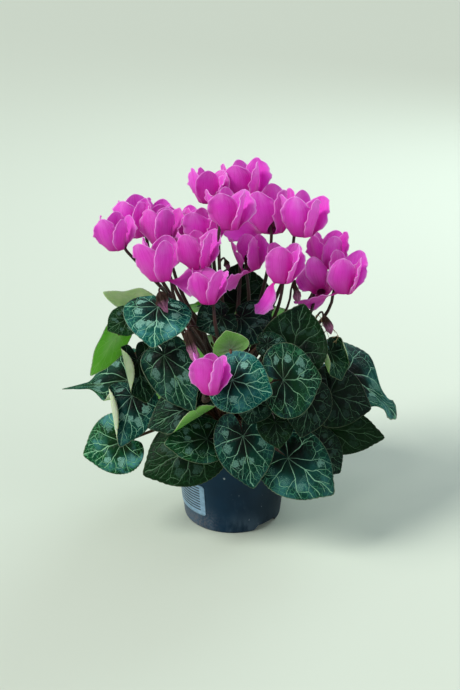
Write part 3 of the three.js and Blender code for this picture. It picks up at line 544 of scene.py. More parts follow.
def mesh_of(bm, name, scale=MM):
    """Turns a bmesh into a mesh and frees it. It goes from millimetres to metres, or keeps its size
    where the scale is 1."""
    if scale != 1:
        bmesh.ops.scale(bm, vec=(scale, scale, scale), verts=bm.verts)
    mesh = bpy.data.meshes.new(name)
    bm.to_mesh(mesh)
    bm.free()
    return mesh


def flat_grid(columns, rows):
    """A flat grid from -1 to 1, to be bent into a sheet."""
    bm = bmesh.new()
    bmesh.ops.create_grid(bm, x_segments=columns, y_segments=rows, size=1)
    return bm


def add_map(bm, name, place):
    """Gives a grid a map, from a function that tells each corner's place on it."""
    layer = bm.loops.layers.uv.new(name)
    for face in bm.faces:
        for loop in face.loops:
            loop[layer].uv = place(loop.vert)


def merged(bm, *meshes):
    """Adds meshes to a bmesh, as they are, and removes them."""
    for mesh in meshes:
        bm.from_mesh(mesh)
        bpy.data.meshes.remove(mesh)
    return bm


def evaluated_mesh(obj):
    """The object's shape with its bevel or modifiers, as a mesh of its own."""
    bpy.context.view_layer.update()
    return bpy.data.meshes.new_from_object(obj.evaluated_get(bpy.context.evaluated_depsgraph_get()))


def finish_piece(name, mesh, nodes, slot, *materials):
    """Links a finished mesh in metres, gives it its materials and ties it to the frame."""
    obj = linked(name, mesh)
    for material in materials:
        mesh.materials.append(material)
    for polygon in mesh.polygons:
        polygon.use_smooth = True
    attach(obj, "root")
    if nodes:
        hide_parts(*nodes)
    return obj


def finish_shape(name, bm, nodes, slot, *materials):
    """The same from a bmesh in millimetres."""
    return finish_piece(name, mesh_of(bm, name), nodes, slot, *materials)


def thicken(obj, thickness, under=0):
    """Gives a sheet its thickness, half to each side; under is the lower side's material."""
    shell = obj.modifiers.new("Thickness", "SOLIDIFY")
    shell.thickness = thickness
    shell.offset = 0.0
    shell.use_even_offset = False
    shell.material_offset = under
    shell.material_offset_rim = 0


def turned(bm, profile, segments):
    """Spins a profile of radius and height round the upright axis and closes it."""
    verts = [bm.verts.new((r, 0.0, z)) for r, z in profile]
    edges = [bm.edges.new((a, b)) for a, b in zip(verts, verts[1:])]
    bmesh.ops.spin(
        bm, geom=verts + edges, axis=(0, 0, 1), cent=(0, 0, 0), angle=2 * math.pi, steps=segments,
        use_merge=True,
    )
    bmesh.ops.remove_doubles(bm, verts=bm.verts, dist=SPIN_MERGE)
    bmesh.ops.recalc_face_normals(bm, faces=bm.faces)


def curve_bodies(name, lines):
    """Round bodies along lines of places with a radius for each place, as one mesh in metres."""
    curve = bpy.data.curves.new(name, "CURVE")
    curve.dimensions = "3D"
    curve.bevel_depth = 1.0
    curve.bevel_resolution = 3
    curve.use_fill_caps = True
    for points, radii in lines:
        spline = curve.splines.new("POLY")
        spline.points.add(len(points) - 1)
        for place, point, radius in zip(spline.points, points, radii):
            place.co = (point.x * MM, point.y * MM, point.z * MM, 1.0)
            place.radius = radius * MM
    obj = linked(name, curve)
    mesh = evaluated_mesh(obj)
    bpy.data.objects.remove(obj)
    bpy.data.curves.remove(curve)
    return mesh


class Finish:
    """A node material and the calls that build it."""

    # The colour sockets of the Mix node
    MIX_A = 6
    MIX_B = 7
    MIX_RESULT = 2

    def __init__(self, name):
        self.material = bpy.data.materials.new(name)
        self.material.use_nodes = True
        self.tree = self.material.node_tree
        self.tree.nodes.clear()
        self.colour = None
        self.shader = self.tree.nodes.new("ShaderNodeBsdfPrincipled")
        output = self.tree.nodes.new("ShaderNodeOutputMaterial")
        self.tree.links.new(self.shader.outputs["BSDF"], output.inputs["Surface"])

    def put(self, socket, value):
        """Links a socket to the value, or sets the value on it."""
        if isinstance(value, bpy.types.NodeSocket):
            self.tree.links.new(value, socket)
        elif isinstance(value, (int, float)):
            socket.default_value = value
        else:
            value = tuple(value)
            socket.default_value = value + (1.0,) if len(socket.default_value) > len(value) else value

    def node(self, kind, values, **settings):
        """A node with its settings, and the values for its sockets in order."""
        node = self.tree.nodes.new(kind)
        for key, value in settings.items():
            setattr(node, key, value)
        for socket, value in zip(node.inputs, values):
            self.put(socket, value)
        return node

    def add(self, kind, output, settings=None, **inputs):
        """A node with its settings, and the values for its sockets by name."""
        node = self.node(kind, (), **(settings or {}))
        for key, value in inputs.items():
            self.put(node.inputs[key.replace("_", " ")], value)
        return node.outputs[output]

    def calc(self, operation, *values, clamp=False):
        return self.node("ShaderNodeMath", values, operation=operation, use_clamp=clamp).outputs[0]

    def plus(self, a, b, clamp=False):
        return self.calc("ADD", a, b, clamp=clamp)

    def less(self, a, b):
        return self.calc("SUBTRACT", a, b)

    def times(self, a, b):
        return self.calc("MULTIPLY", a, b)

    def vector(self, operation, *values, output="Vector"):
        return self.node("ShaderNodeVectorMath", values, operation=operation).outputs[output]

    def scaled(self, vector, amount):
        settings = {"operation": "SCALE"}
        return self.add("ShaderNodeVectorMath", "Vector", settings, Vector=vector, Scale=amount)

    def between(self, value, low, high, to_low=0.0, to_high=1.0, shape="SMOOTHSTEP"):
        """Maps the range from low to high to another one, and stays inside that."""
        return self.add(
            "ShaderNodeMapRange", "Result", {"interpolation_type": shape},
            Value=value, From_Min=low, From_Max=high, To_Min=to_low, To_Max=to_high,
        )

    def mix(self, factor, a, b):
        """Colour a, with the factor's share of colour b."""
        node = self.node("ShaderNodeMix", (factor,), data_type="RGBA")
        self.put(node.inputs[self.MIX_A], a)
        self.put(node.inputs[self.MIX_B], b)
        return node.outputs[self.MIX_RESULT]

    def noise(self, place, scale, detail=3.0, roughness=0.55, colour=False):
        output = "Color" if colour else "Fac"
        return self.add(
            "ShaderNodeTexNoise", output, Vector=place, Scale=scale, Detail=detail, Roughness=roughness
        )

    def streaks(self, place, stretch, detail=3.0, roughness=0.55):
        """Noise that is finer along some axes than along others."""
        return self.noise(self.vector("MULTIPLY", place, stretch), 1.0, detail, roughness)

    def cell_edges(self, place, scale, randomness=1.0):
        """Distance to the nearest edge of a net of cells."""
        return self.add(
            "ShaderNodeTexVoronoi", "Distance", {"feature": "DISTANCE_TO_EDGE"},
            Vector=place, Scale=scale, Randomness=randomness,
        )

    def chance(self, seed, output):
        return self.add("ShaderNodeTexWhiteNoise", output, {"noise_dimensions": "1D"}, W=seed)

    def place(self):
        return self.add("ShaderNodeTexCoord", "Object")

    def map(self, name):
        return self.add("ShaderNodeUVMap", "UV", {"uv_map": name})

    def attribute(self, name):
        return self.add("ShaderNodeAttribute", "Fac", {"attribute_name": name})

    def split(self, vector):
        return self.node("ShaderNodeSeparateXYZ", (vector,)).outputs

    def join(self, x, y, z=0.0):
        return self.node("ShaderNodeCombineXYZ", (x, y, z)).outputs[0]

    def bump(self, height, strength, distance):
        return self.add("ShaderNodeBump", "Normal", Height=height, Strength=strength, Distance=distance)

    def coat(self, mask, colour):
        """Lays a colour over the finish where the mask is."""
        self.colour = self.mix(mask, self.colour, colour)

    def surface(self, **values):
        """Sets or links the shader's own sockets and gives the material."""
        if self.colour is not None:
            values["Base_Color"] = self.colour
        for key, value in values.items():
            self.put(self.shader.inputs[key.replace("_", " ")], value)
        return self.material


# Leaf finishes


def wander(finish, place, scale, amount):
    """A soft shift to all sides, so that lines don't run straight."""
    shift = finish.vector("SUBTRACT", finish.noise(place, scale, 1.0, 0.4, colour=True), (0.5, 0.5, 0.5))
    return finish.scaled(shift, amount)


def vein_net(finish):
    """Distance to the nearest vein in leaf lengths, the reach from joint to edge, the place that
    patterns read, the place on one half of the blade and a number of its own for each half."""
    seed = finish.attribute("leaf_seed")
    flat = finish.map("flat")
    moved = finish.vector("ADD", flat, finish.join(seed, finish.times(seed, 1.7)))
    reach = finish.split(finish.map("polar"))[1]
    bent = finish.vector("ADD", wander(finish, moved, 3.2, 0.17), wander(finish, moved, 14.0, 0.03))
    bent = finish.scaled(bent, finish.between(reach, 0.0, 0.6))
    across, along, _ = finish.split(finish.vector("ADD", flat, bent))
    point = finish.join(finish.calc("ABSOLUTE", across), along)
    nearest = None
    for start, end, width in VEINS:
        run = (end[0] - start[0], end[1] - start[1], 0.0)
        size = run[0] ** 2 + run[1] ** 2
        away = finish.vector("SUBTRACT", point, (start[0], start[1], 0.0))
        part = finish.vector("DOT_PRODUCT", away, (run[0] / size, run[1] / size, 0.0), output="Value")
        part = finish.plus(part, 0.0, clamp=True)
        off = finish.vector("DISTANCE", away, finish.scaled(run, part), output="Value")
        off = finish.calc("DIVIDE", off, width)
        nearest = off if nearest is None else finish.calc("MINIMUM", nearest, off)
    half = finish.calc("GREATER_THAN", across, 0.0)
    return nearest, reach, moved, point, finish.plus(seed, half)


def patches(finish, moved, point, draw):
    """Ragged pale patches, each half of each blade with its own choice of them."""
    chance = finish.split(finish.chance(draw, "Color"))
    ragged = finish.times(finish.less(finish.noise(moved, 15.0, 3.0, 0.65), 0.5), 2.4)
    result = None
    for middle, size, which in PATCHES:
        off = finish.vector("DISTANCE", point, (middle[0], middle[1], 0.0), output="Value")
        off = finish.plus(finish.calc("DIVIDE", off, size), ragged)
        spot = finish.times(finish.between(off, 1.1, 0.85), finish.between(chance[which], 0.2, 0.35))
        result = spot if result is None else finish.calc("MAXIMUM", result, spot)
    return result


def leaf_top_finish(settings):
    """Dark at the joint and lighter outwards, with painted shade on the lobes and on the darker leaves, a
    painted bluish sheen, pale veins, a fine web and pale patches.
    """
    finish = Finish("leaf_upper_side")
    vein, reach, moved, point, draw = vein_net(finish)
    tone = finish.attribute("leaf_tone")
    teal = finish.attribute("leaf_teal")
    broad = finish.split(finish.noise(moved, 2.4, 2.0, colour=True))
    fine = finish.noise(moved, 40.0, 4.0)
    share = finish.plus(teal, finish.less(broad[2], 0.5), clamp=True)

    def by_tone(mask, low, high, weakest, strongest):
        """Weakens a mask on the darker leaves, whose tone holds painted shade."""
        return finish.times(mask, finish.between(tone, low, high, weakest, strongest, "LINEAR"))

    # Dark middle and lighter outer part; the lobes are painted darker than the tip as shade from the leaves
    # above, and the darker leaves get painted shade
    contrast = finish.times(finish.less(broad[0], 0.5), 2.2)
    forward = finish.between(finish.split(finish.map("flat"))[1], -0.35, 0.75)
    outward = finish.plus(finish.between(reach, 0.0, 0.85, 0.0, 0.5), finish.times(forward, 0.5))
    outward = by_tone(finish.between(finish.plus(outward, contrast), 0.1, 1.0), 0.05, 0.8, 0.02, 1.0)
    shadow = finish.mix(finish.between(share, 0.0, 0.4), LEAF_SHADOW, settings.dark)
    finish.colour = finish.mix(outward, shadow, finish.mix(share, settings.green, settings.middle))
    # Painted bluish sheen, a reflection of the sky, stronger on the brighter leaves
    sheen = finish.times(finish.between(broad[1], 0.46, 0.7), finish.between(reach, 0.3, 0.8))
    finish.coat(by_tone(sheen, 0.3, 1.0, 0.0, 0.7), settings.sheen)
    # Glow beside the veins
    glow = finish.times(finish.between(vein, 0.0, 0.05, 0.3, 0.0), finish.between(reach, 0.2, 0.8))
    finish.coat(finish.times(glow, tone), finish.mix(share, GREEN_GLOW, TEAL_GLOW))
    # Fine web
    cells = finish.cell_edges(moved, 10.0, 0.9)
    web = finish.times(finish.between(cells, 0.015, 0.04, 0.75, 0.0), finish.between(reach, 0.4, 0.85))
    finish.coat(by_tone(web, 0.0, 0.8, 0.05, 1.0), finish.mix(share, GREEN_WEB, TEAL_WEB))
    # Pale patches
    spot = finish.times(patches(finish, moved, point, draw), finish.between(vein, 0.01, 0.024))
    spot = by_tone(spot, 0.06, 0.65, 0.05, 0.95)
    spot = finish.times(spot, finish.between(fine, 0.38, 0.56, 0.45, 1.0))
    finish.coat(spot, settings.blotch)
    # Veins
    line = finish.between(vein, 0.005, 0.0125, 1.0, 0.0)
    line = finish.times(line, finish.between(reach, 0.05, 0.5, 0.25, 1.0))
    finish.coat(by_tone(line, 0.0, 0.6, 0.16, 1.0), finish.mix(share, GREEN_VEIN, settings.vein))
    # Thin pale edge
    edge = by_tone(finish.between(reach, 0.976, 0.99), 0.0, 0.6, 0.2, 0.5)
    edge = finish.times(edge, finish.between(broad[1], 0.35, 0.6, 0.4, 1.0))
    finish.coat(edge, settings.edge)
    # Painted shade that dims the darker leaves as a whole
    finish.coat(finish.between(tone, 0.2, 0.9, 0.34, 0.0, "LINEAR"), LEAF_PAINTED_SHADE)
    # Sunken veins and a fine grain
    height = finish.plus(finish.times(finish.between(vein, 0.0, 0.045), 0.8), finish.times(fine, 0.4))
    height = finish.plus(height, finish.times(finish.between(cells, 0.0, 0.15), 0.3))
    return finish.surface(
        Roughness=finish.between(fine, 0.3, 0.7, 0.38, 0.5, "LINEAR"),
        Specular_IOR_Level=0.09,
        Normal=finish.bump(height, 0.7, 0.0008),
    )


def leaf_under_finish(settings):
    """Green to pale, with raised veins that hardly differ in colour, and painted shade on the darker
    leaves, deepest in the middle.
    """
    finish = Finish("leaf_under_side")
    vein, reach, moved = vein_net(finish)[:3]
    pale = finish.attribute("leaf_pale")
    tone = finish.attribute("leaf_tone")
    patch = finish.noise(moved, 4.0, 3.0)
    fine = finish.noise(moved, 40.0, 3.0)
    finish.colour = finish.mix(pale, settings.under, settings.under_pale)
    finish.coat(finish.between(reach, 0.7, 0.1, 0.0, 0.6), UNDER_MIDDLE)
    finish.coat(finish.between(patch, 0.3, 0.7, 0.0, 0.25), UNDER_PATCH)
    finish.coat(finish.between(vein, 0.008, 0.022, 0.22, 0.0), UNDER_VEIN)
    # Painted shade on the undersides of the darker leaves, deepest in the middle
    shade = finish.between(tone, 0.1, 0.5, 0.9, 0.0, "LINEAR")
    shade = finish.times(shade, finish.between(reach, 1.1, 0.2, 0.45, 1.0))
    finish.coat(shade, UNDER_SHADE)
    edge = finish.times(finish.between(reach, 0.965, 0.985), 0.7)
    finish.coat(edge, settings.edge)
    height = finish.plus(finish.between(vein, 0.0, 0.03, 1.0, 0.0), finish.times(fine, 0.35))
    return finish.surface(
        Roughness=0.6,
        Specular_IOR_Level=0.3,
        Subsurface_Weight=0.5,
        Subsurface_Radius=(0.6, 1.0, 0.3),
        Subsurface_Scale=0.004,
        Normal=finish.bump(height, 0.5, 0.0006),
    )


# Leaf shapes


def outline(angle):
    """Distance from the joint to the edge against the length, at an angle from the tip."""
    place = min(abs(angle) / OUTLINE_STEP, len(OUTLINE) - 1.001)
    i = int(place)
    f = place - i
    p0, p1, p2 = OUTLINE[max(i - 1, 0)], OUTLINE[i], OUTLINE[i + 1]
    p3 = OUTLINE[min(i + 2, len(OUTLINE) - 1)]
    return 0.5 * (2 * p1 + (p2 - p0) * f + (2 * p0 - 5 * p1 + 4 * p2 - p3) * f ** 2
                  + (3 * p1 - p0 - 3 * p2 + p3) * f ** 3)


def leaf_frame(leaf):
    """The joint, the ways to the tip, out of the upper side and across, and the length."""
    at = leaf["joint"] if "joint" in leaf else seen(leaf["at"])
    tip = leaf["point"] if "point" in leaf else seen(leaf["tip"])
    axis = tip - at
    length = axis.length * 1.03
    axis = axis.normalized()
    face = direction(*leaf["face"])
    face = (face - axis * face.dot(axis)).normalized()
    return at, axis, face, face.cross(axis), length


def edge_reach(leaf, length, angle, reach, settings):
    """Distance from the joint on the flat blade, with the lobes' length and the teeth."""
    shorter = 1 - (1 - leaf.get("lobe", 1.0)) * smoothstep(abs(angle), 80, 150)
    r = length * outline(angle) * reach * shorter
    saw = abs(math.fmod(angle * settings.teeth / 360.0 + 100.0, 1.0) * 2 - 1)
    at_edge = smoothstep(reach, 0.86, 1.0)
    return r * (1 - settings.tooth_depth * 1.6 * saw * at_edge * smoothstep(abs(angle), 0, 12))


def rolled_over(x, y, z, heading, start, radius):
    """Curls up what lies beyond a line across the blade."""
    sine, cosine = math.sin(math.radians(heading)), math.cos(math.radians(heading))
    beyond = x * sine + y * cosine - start
    if beyond > 0:
        turn = beyond / abs(radius)
        drawn_in = abs(radius) * math.sin(turn) - beyond
        x += drawn_in * sine
        y += drawn_in * cosine
        z += radius * (1 - math.cos(turn))
    return x, y, z


def blade_point(leaf, placed, angle, reach, settings):
    """A place on the blade, from the angle round the joint and the reach from joint to edge."""
    at, axis, face, across_way, length = placed
    a = math.radians(angle)
    r = edge_reach(leaf, length, angle, reach, settings)
    along = r * math.cos(a)
    across = r * math.sin(a) * leaf["wide"]
    across *= 1 - leaf.get("nose", 0.0) * smoothstep(along / length, 0.2, 0.62)
    across *= 1 + leaf.get("flag", 0.0) * smoothstep(along / length, 0.7, 0.88)
    cup, arch = leaf.get("cup", 0.0) / 30, leaf.get("arch", 0.0) / 30
    x = across * (1 - (cup * across) ** 2 / 6)
    y = along * (1 - (arch * along) ** 2 / 6)
    z = -cup * across * across / 2
    z += leaf["wave"] * reach * reach * math.sin(3 * a + length)
    z += 0.45 * reach ** 3 * math.sin(8 * a + length * 1.7)
    fold = abs(angle / 40 - round(angle / 40)) * 2
    z += 0.7 * fold * math.sin(math.pi * min(1.0, reach)) * length / 60
    z -= arch * along * along / 2 * math.copysign(1, along)
    for heading, start, radius in leaf.get("rolls", ()):
        x, y, z = rolled_over(x, y, z, heading, start, radius)
    return at + axis * y + across_way * x + face * z


def on_blade(vert):
    """The angle and the reach that a corner of the flat grid stands for."""
    return vert.co.x * BLADE_SPREAD, (vert.co.y + 1) / 2


def on_flat_map(vert):
    """The place on the blade laid flat, with the joint at 0, 0 and the tip at 0, 1."""
    angle, reach = on_blade(vert)
    r = outline(angle) * reach
    return r * math.sin(math.radians(angle)), r * math.cos(math.radians(angle))


def on_polar_map(vert):
    """The turn round the joint and the reach."""
    angle, reach = on_blade(vert)
    return angle / 360.0 + 0.5, reach


def add_leaf(bm, leaf, settings, seed):
    """Adds one blade to the mesh, with its two maps and the values that its colours read."""
    piece = flat_grid(BLADE_COLUMNS, BLADE_ROWS)
    add_map(piece, "flat", on_flat_map)
    add_map(piece, "polar", on_polar_map)
    keys = ("seed", "tone", "teal", "pale")
    layers = [piece.verts.layers.float.new("leaf_" + key) for key in keys]
    values = [seed] + [leaf.get(key, 0.3) for key in keys[1:]]
    placed = leaf_frame(leaf)
    at, _, upper, _, length = placed
    for vert in piece.verts:
        for layer, value in zip(layers, values):
            vert[layer] = value
        vert.co = blade_point(leaf, placed, *on_blade(vert), settings)
    bmesh.ops.remove_doubles(piece, verts=piece.verts, dist=MERGE)
    piece.normal_update()
    middle = [f for f in piece.faces if (f.calc_center_median() - at).length < length * 0.3]
    if sum(f.normal.dot(upper) for f in middle) < 0:
        bmesh.ops.reverse_faces(piece, faces=piece.faces)
    merged(bm, mesh_of(piece, "blade", 1))


def back_leaves(tier):
    """The leaves of one tier, every second one longer and brighter."""
    leaves = []
    for i in range(tier["count"]):
        azimuth = tier["first"] + tier["step"] * i
        lift = 1 if i % 2 == 0 else -1
        near = direction(azimuth, 0) * tier["near"]
        far = direction(azimuth + 4 * lift, 0) * (tier["far"] + 3 * lift)
        near.z, far.z = tier["high"], tier["low"]
        leaves.append(dict(joint=near, point=far, face=(azimuth, tier["face"]), wide=tier["wide"],
                           arch=0.3, wave=1.0, tone=0.4 + 0.15 * lift, teal=0.45 + 0.2 * lift))
    return leaves


# Bloom shapes


def bloom_frame(bloom):
    """The mouth, the ways to the tips, to the stalk's gap and aside, and the size."""
    eye, top = seen(bloom["eye"]), seen(bloom["top"])
    up = top - eye
    size = up.length / BLOOM_HEIGHT
    up = up.normalized()
    gap = direction(bloom["gap"], 0)
    gap = (gap - up * gap.dot(up)).normalized()
    return eye, up, gap, up.cross(gap), size


def bloom_point(placed, radius, angle, height):
    """A place by its distance from the bloom's axis, the angle from the gap and the height."""
    eye, up, gap, side, size = placed
    a = math.radians(angle)
    return eye + (gap * math.cos(a) + side * math.sin(a)) * radius * size + up * height * size


def ring_angle(k, t):
    """The angle on the mouth's ring for a place across petal k."""
    return PETAL_ANGLE * (k + 0.5) + PETAL_ANGLE / 2 * t


def petal_width(s, blunt, beside):
    """Half width against the greatest one; beside the stalk the lower part is narrow."""
    claw = 0.38 + 0.62 * smoothstep(s, 0.04, 0.48)
    if beside:
        claw = 0.24 + 0.76 * smoothstep(s, 0.18, 0.54)
    return claw * petal_end(s, blunt)


def petal_end(s, blunt):
    """Rounds a petal off towards its tip: 1 in the lower half and 0 at the tip."""
    return max(0.0, 1 - max(0.0, (s - PETAL_WIDEST) / PETAL_TAIL) ** blunt) ** 0.72


def petal_line(s, shape, mouth):
    """Middle line of a petal: out of the mouth, a sharp turn and the sweep back."""
    steps = 16
    step = shape["length"] * s / steps
    radius, height = mouth, 0.0
    for i in range(steps):
        t = (i + 0.5) / steps * s
        turned_up = (PETAL_UPTURN - shape["bend"]) * smoothstep(t, 0, shape["knee"])
        angle = math.radians(PETAL_DIP + turned_up + (PETAL_SWEEP - 2 * shape["flare"]) * t * t)
        radius += math.cos(angle) * step
        height += math.sin(angle) * step
    return radius, height


def petal_shape(bloom, k, settings, chance):
    """The numbers that make one petal differ a little from its neighbours."""
    odd = bloom.get("odd") == k
    short, slim = (bloom.get("short", 1.0), bloom.get("slim", 1.0)) if odd else (1.0, 1.0)
    return dict(
        bend=bloom["bend"] if odd else 0.0,
        knee=bloom.get("knee", PETAL_KNEE),
        turn=bloom["roll"] if odd else 0.0,
        wrap=0.0 if odd else 1.0,
        flare=bloom["flare"] + chance.uniform(-5, 9),
        length=settings.petal_length / MM * chance.uniform(0.93, 1.03) * short,
        half=settings.petal_half_width / MM * chance.uniform(0.92, 1.08) * slim,
        blunt=chance.uniform(2.2, 3.2),
        wave=chance.uniform(0.8, 2.0),
        phase=chance.uniform(0, 6.28),
        tip=chance.uniform(-8, 22),
        curl=chance.uniform(0.8, 4.0),
        lobe=chance.uniform(-0.05, 0.05),
    )


def petal_point(placed, shape, k, q, t, settings):
    """A place on a petal: q runs from mouth to tip and t across. Each petal winds round the
    bloom's axis, with one side under the petal before it and the other over the next one."""
    mouth = settings.mouth_radius / MM
    phase = shape["phase"]
    s = 0.6 * smoothstep(q, 0, 1) + 0.4 * q
    radius, height = petal_line(s, shape, mouth)
    low = petal_line(max(0.0, s - 0.01), shape, mouth)
    high = petal_line(min(1.0, s + 0.01), shape, mouth)
    slope = math.atan2(high[1] - low[1], high[0] - low[0])
    # Half width, with one side turned and wound over the next petal
    beside = (k == 0 and t < 0) or (k == PETAL_COUNT - 1 and t > 0)
    ripple = 0.03 * math.sin(11 * s + phase + t) + 0.018 * math.sin(27 * s + 2 * phase)
    half = shape["half"] * petal_width(s, shape["blunt"], beside) * t * (1 + ripple)
    sweep = math.radians(shape["turn"]) * smoothstep(s, 0, 0.4)
    sweep += math.radians(shape["tip"]) * smoothstep(s, 0.45, 1.0)
    flat = half * math.cos(sweep)
    wind = PETAL_WIND * shape["wrap"] * smoothstep(s, 0.15 if beside else 0.0, 0.5)
    lean = half * math.sin(sweep) + wind * t * petal_end(s, shape["blunt"])
    # Curled side, waves and the frill of the edge
    fade = smoothstep(s, 0.2, 0.6) * (1 - smoothstep(s, 0.88, 1.0))
    curl_span = smoothstep(s, 0.2, 0.5) * (1 - smoothstep(s, 0.6, 0.98))
    lean -= shape["curl"] * smoothstep(-t, 0.5, 1.1) * curl_span
    lean -= 0.8 * smoothstep(t, 0.7, 1.1) * fade
    lean += shape["wave"] * fade * t * t * math.sin(8 * s + 2.2 * t + phase)
    frill = math.sin(31 * s + 3 * phase + t) + 0.6 * math.sin(53 * s + 5 * phase)
    lean += PETAL_FRILL * frill * fade * smoothstep(abs(t), 0.6, 1.0)
    radius -= lean * math.sin(slope)
    height += lean * math.cos(slope)
    height += shape["length"] * shape["lobe"] * half / shape["half"] * smoothstep(s, 0.5, 1.0)
    angle = ring_angle(k, 0) + math.degrees(flat / max(radius, 7.0))
    free = bloom_point(placed, radius, angle, height)
    ring = bloom_point(placed, mouth, ring_angle(k, t), 0.0)
    return ring.lerp(free, smoothstep(s, 0.0, 0.12))


def tube_point(placed, k, q, t, settings):
    """The short tube over the mouth: q is 0 at its top and 1 at the mouth."""
    a = math.radians(90 * q)
    radius = settings.mouth_radius / MM * math.sin(a) ** 0.9
    height = settings.tube_height / MM * math.cos(a) if q < 1 else 0.0
    return bloom_point(placed, radius, ring_angle(k, t), height)


def petal_row(vert):
    """The row of a corner of the flat grid, counted from the top of the tube."""
    return round((vert.co.y + 1) / 2 * (TUBE_ROWS + PETAL_ROWS))


def on_petal_map(vert):
    """Across the petal, and along it from 0 at the mouth to 1 at the tip."""
    return vert.co.x / 2 + 0.5, (petal_row(vert) - TUBE_ROWS) / PETAL_ROWS


def add_bloom(bm, bloom, settings, chance):
    """Adds the five petals of one bloom, with the map and the value that their colours read."""
    placed = bloom_frame(bloom)
    tone = chance.random()
    for k in range(PETAL_COUNT):
        piece = flat_grid(PETAL_COLUMNS, TUBE_ROWS + PETAL_ROWS)
        add_map(piece, "petal", on_petal_map)
        own = piece.verts.layers.float.new("petal_seed")
        shape = petal_shape(bloom, k, settings, chance)
        for vert in piece.verts:
            row = petal_row(vert)
            t = vert.co.x
            if row <= TUBE_ROWS:
                vert.co = tube_point(placed, k, row / TUBE_ROWS, t, settings)
            else:
                vert.co = petal_point(placed, shape, k, (row - TUBE_ROWS) / PETAL_ROWS, t, settings)
            vert[own] = k * 1.37 + tone * 9
        merged(bm, mesh_of(piece, "petal", 1))
    bmesh.ops.remove_doubles(bm, verts=bm.verts, dist=MERGE)
    bmesh.ops.recalc_face_normals(bm, faces=bm.faces)


def petal_finish(settings):
    """Deep at the mouth and paler to tip and edges, with long streaks, a dark eye deepened by painted shade
    at the mouth and a thin rim of painted highlight.
    """
    finish = Finish("petal")
    u, v, _ = finish.split(finish.map("petal"))
    seed = finish.attribute("petal_seed")
    long_place = finish.join(finish.plus(finish.times(u, 16.0), seed), finish.times(v, 1.2), seed)
    streak = finish.noise(long_place, 2.0, 3.0, 0.6)
    soft = finish.noise(finish.join(finish.plus(u, seed), v), 2.6, 2.0)
    edge = finish.calc("ABSOLUTE", finish.less(finish.times(u, 2.0), 1.0))
    edge = finish.calc("MAXIMUM", edge, finish.between(v, 0.8, 1.0, 0.6, 1.0))
    finish.colour = finish.mix(finish.between(v, 0.66, 0.02), settings.petal, settings.deep)
    pale = finish.calc("MAXIMUM", finish.between(v, 0.45, 1.0), finish.between(edge, 0.35, 1.0, 0.0, 0.9))
    pale = finish.times(pale, finish.between(v, 0.08, 0.45))
    pale = finish.times(pale, finish.between(soft, 0.3, 0.7, 0.35, 0.95))
    finish.coat(pale, settings.light)
    finish.coat(finish.between(streak, 0.45, 0.75, 0.0, 0.4), settings.deep)
    own = finish.between(finish.chance(seed, "Value"), 0.35, 1.0, 0.0, 0.38, "LINEAR")
    finish.coat(own, settings.deep)
    # The dark eye at the mouth, deepened with painted shade
    finish.coat(finish.between(v, 0.17, -0.1), PETAL_EYE_AND_SHADE)
    # Painted highlight along the petal's edges
    rim = finish.times(finish.between(edge, 0.88, 0.99), finish.between(v, 0.15, 0.4, 0.0, 0.45))
    finish.coat(rim, PETAL_RIM_HIGHLIGHT)
    return finish.surface(
        Roughness=0.55,
        Specular_IOR_Level=0.25,
        Subsurface_Weight=0.55,
        Subsurface_Radius=(1.0, 0.35, 0.8),
        Subsurface_Scale=0.004,
        Sheen_Weight=0.12,
        Sheen_Roughness=0.4,
        Normal=finish.bump(streak, 0.35, 0.0006),
    )


# Stalks, calyces and faded flowers


def leaf_stalk_line(leaf):
    """From the crown's ring out and up to the underside of the blade's joint."""
    at, axis, face, _, _ = leaf_frame(leaf)
    end = at - face * 1.5
    out = outwards(end)
    root = out * ((CORE_RADIUS + CROWN_FLAT) / 2 + 0.6)
    root.z = ROOT_HEIGHT
    span = (end - root).length
    reach = math.hypot(end.x, end.y)
    flat = reach / (reach + max(0.0, end.z - root.z))
    rise = out * (0.3 + 0.6 * flat)
    rise.z = 1.1 - 0.5 * flat
    rise = rise.normalized()
    arrive = (axis * 0.8 + face * 0.55).normalized()
    lean = seen(leaf["via"]) if "via" in leaf else end - arrive * span * 0.3
    return bezier(root, root + rise * span * 0.38, lean, end, LEAF_STALK_STEPS)


def flower_stalk_line(bloom, settings):
    """From the core up beside the bloom, and over a hook into the top of its tube."""
    placed = bloom_frame(bloom)
    beside = bloom_point(placed, 9.4, 0, -2)
    toward = seen(bloom["via"]) if "via" in bloom else beside
    root = outwards(toward) * CORE_RADIUS * 0.5
    root.z = ROOT_HEIGHT
    span = (beside - root).length
    lean = toward if "via" in bloom else beside - placed[1] * span * 0.3
    line = bezier(root, root + Vector((0, 0, span * 0.42)), lean, beside, FLOWER_STALK_STEPS)
    hook = ((7.4, 4.5), (5.2, 13.2), (1.2, 14.2), (0, settings.tube_height / MM + 1.0))
    over = [bloom_point(placed, radius, 0, height) for radius, height in hook]
    return line[:-2] + rounded(line[-2:] + over, 4)


def faded_line(head):
    """From the core up behind a faded flower and over into it."""
    hook, end, behind = seen(head["hook"]), seen(head["end"]), seen(head["via"])
    base = outwards(end) * CORE_RADIUS * 0.4
    base.z = ROOT_HEIGHT
    span = (behind - base).length
    rise, arrive = Vector((0, 0, span * 0.45)), Vector((0, 0, span * 0.25))
    line = bezier(base, base + rise, behind - arrive, behind, FADED_STALK_STEPS)
    over = behind.lerp(hook, 0.5) + Vector((0, 0, head["thick"] * 0.6))
    return line[:-1] + rounded([line[-1], over, hook, hook + (end - hook) * 0.3], 4)


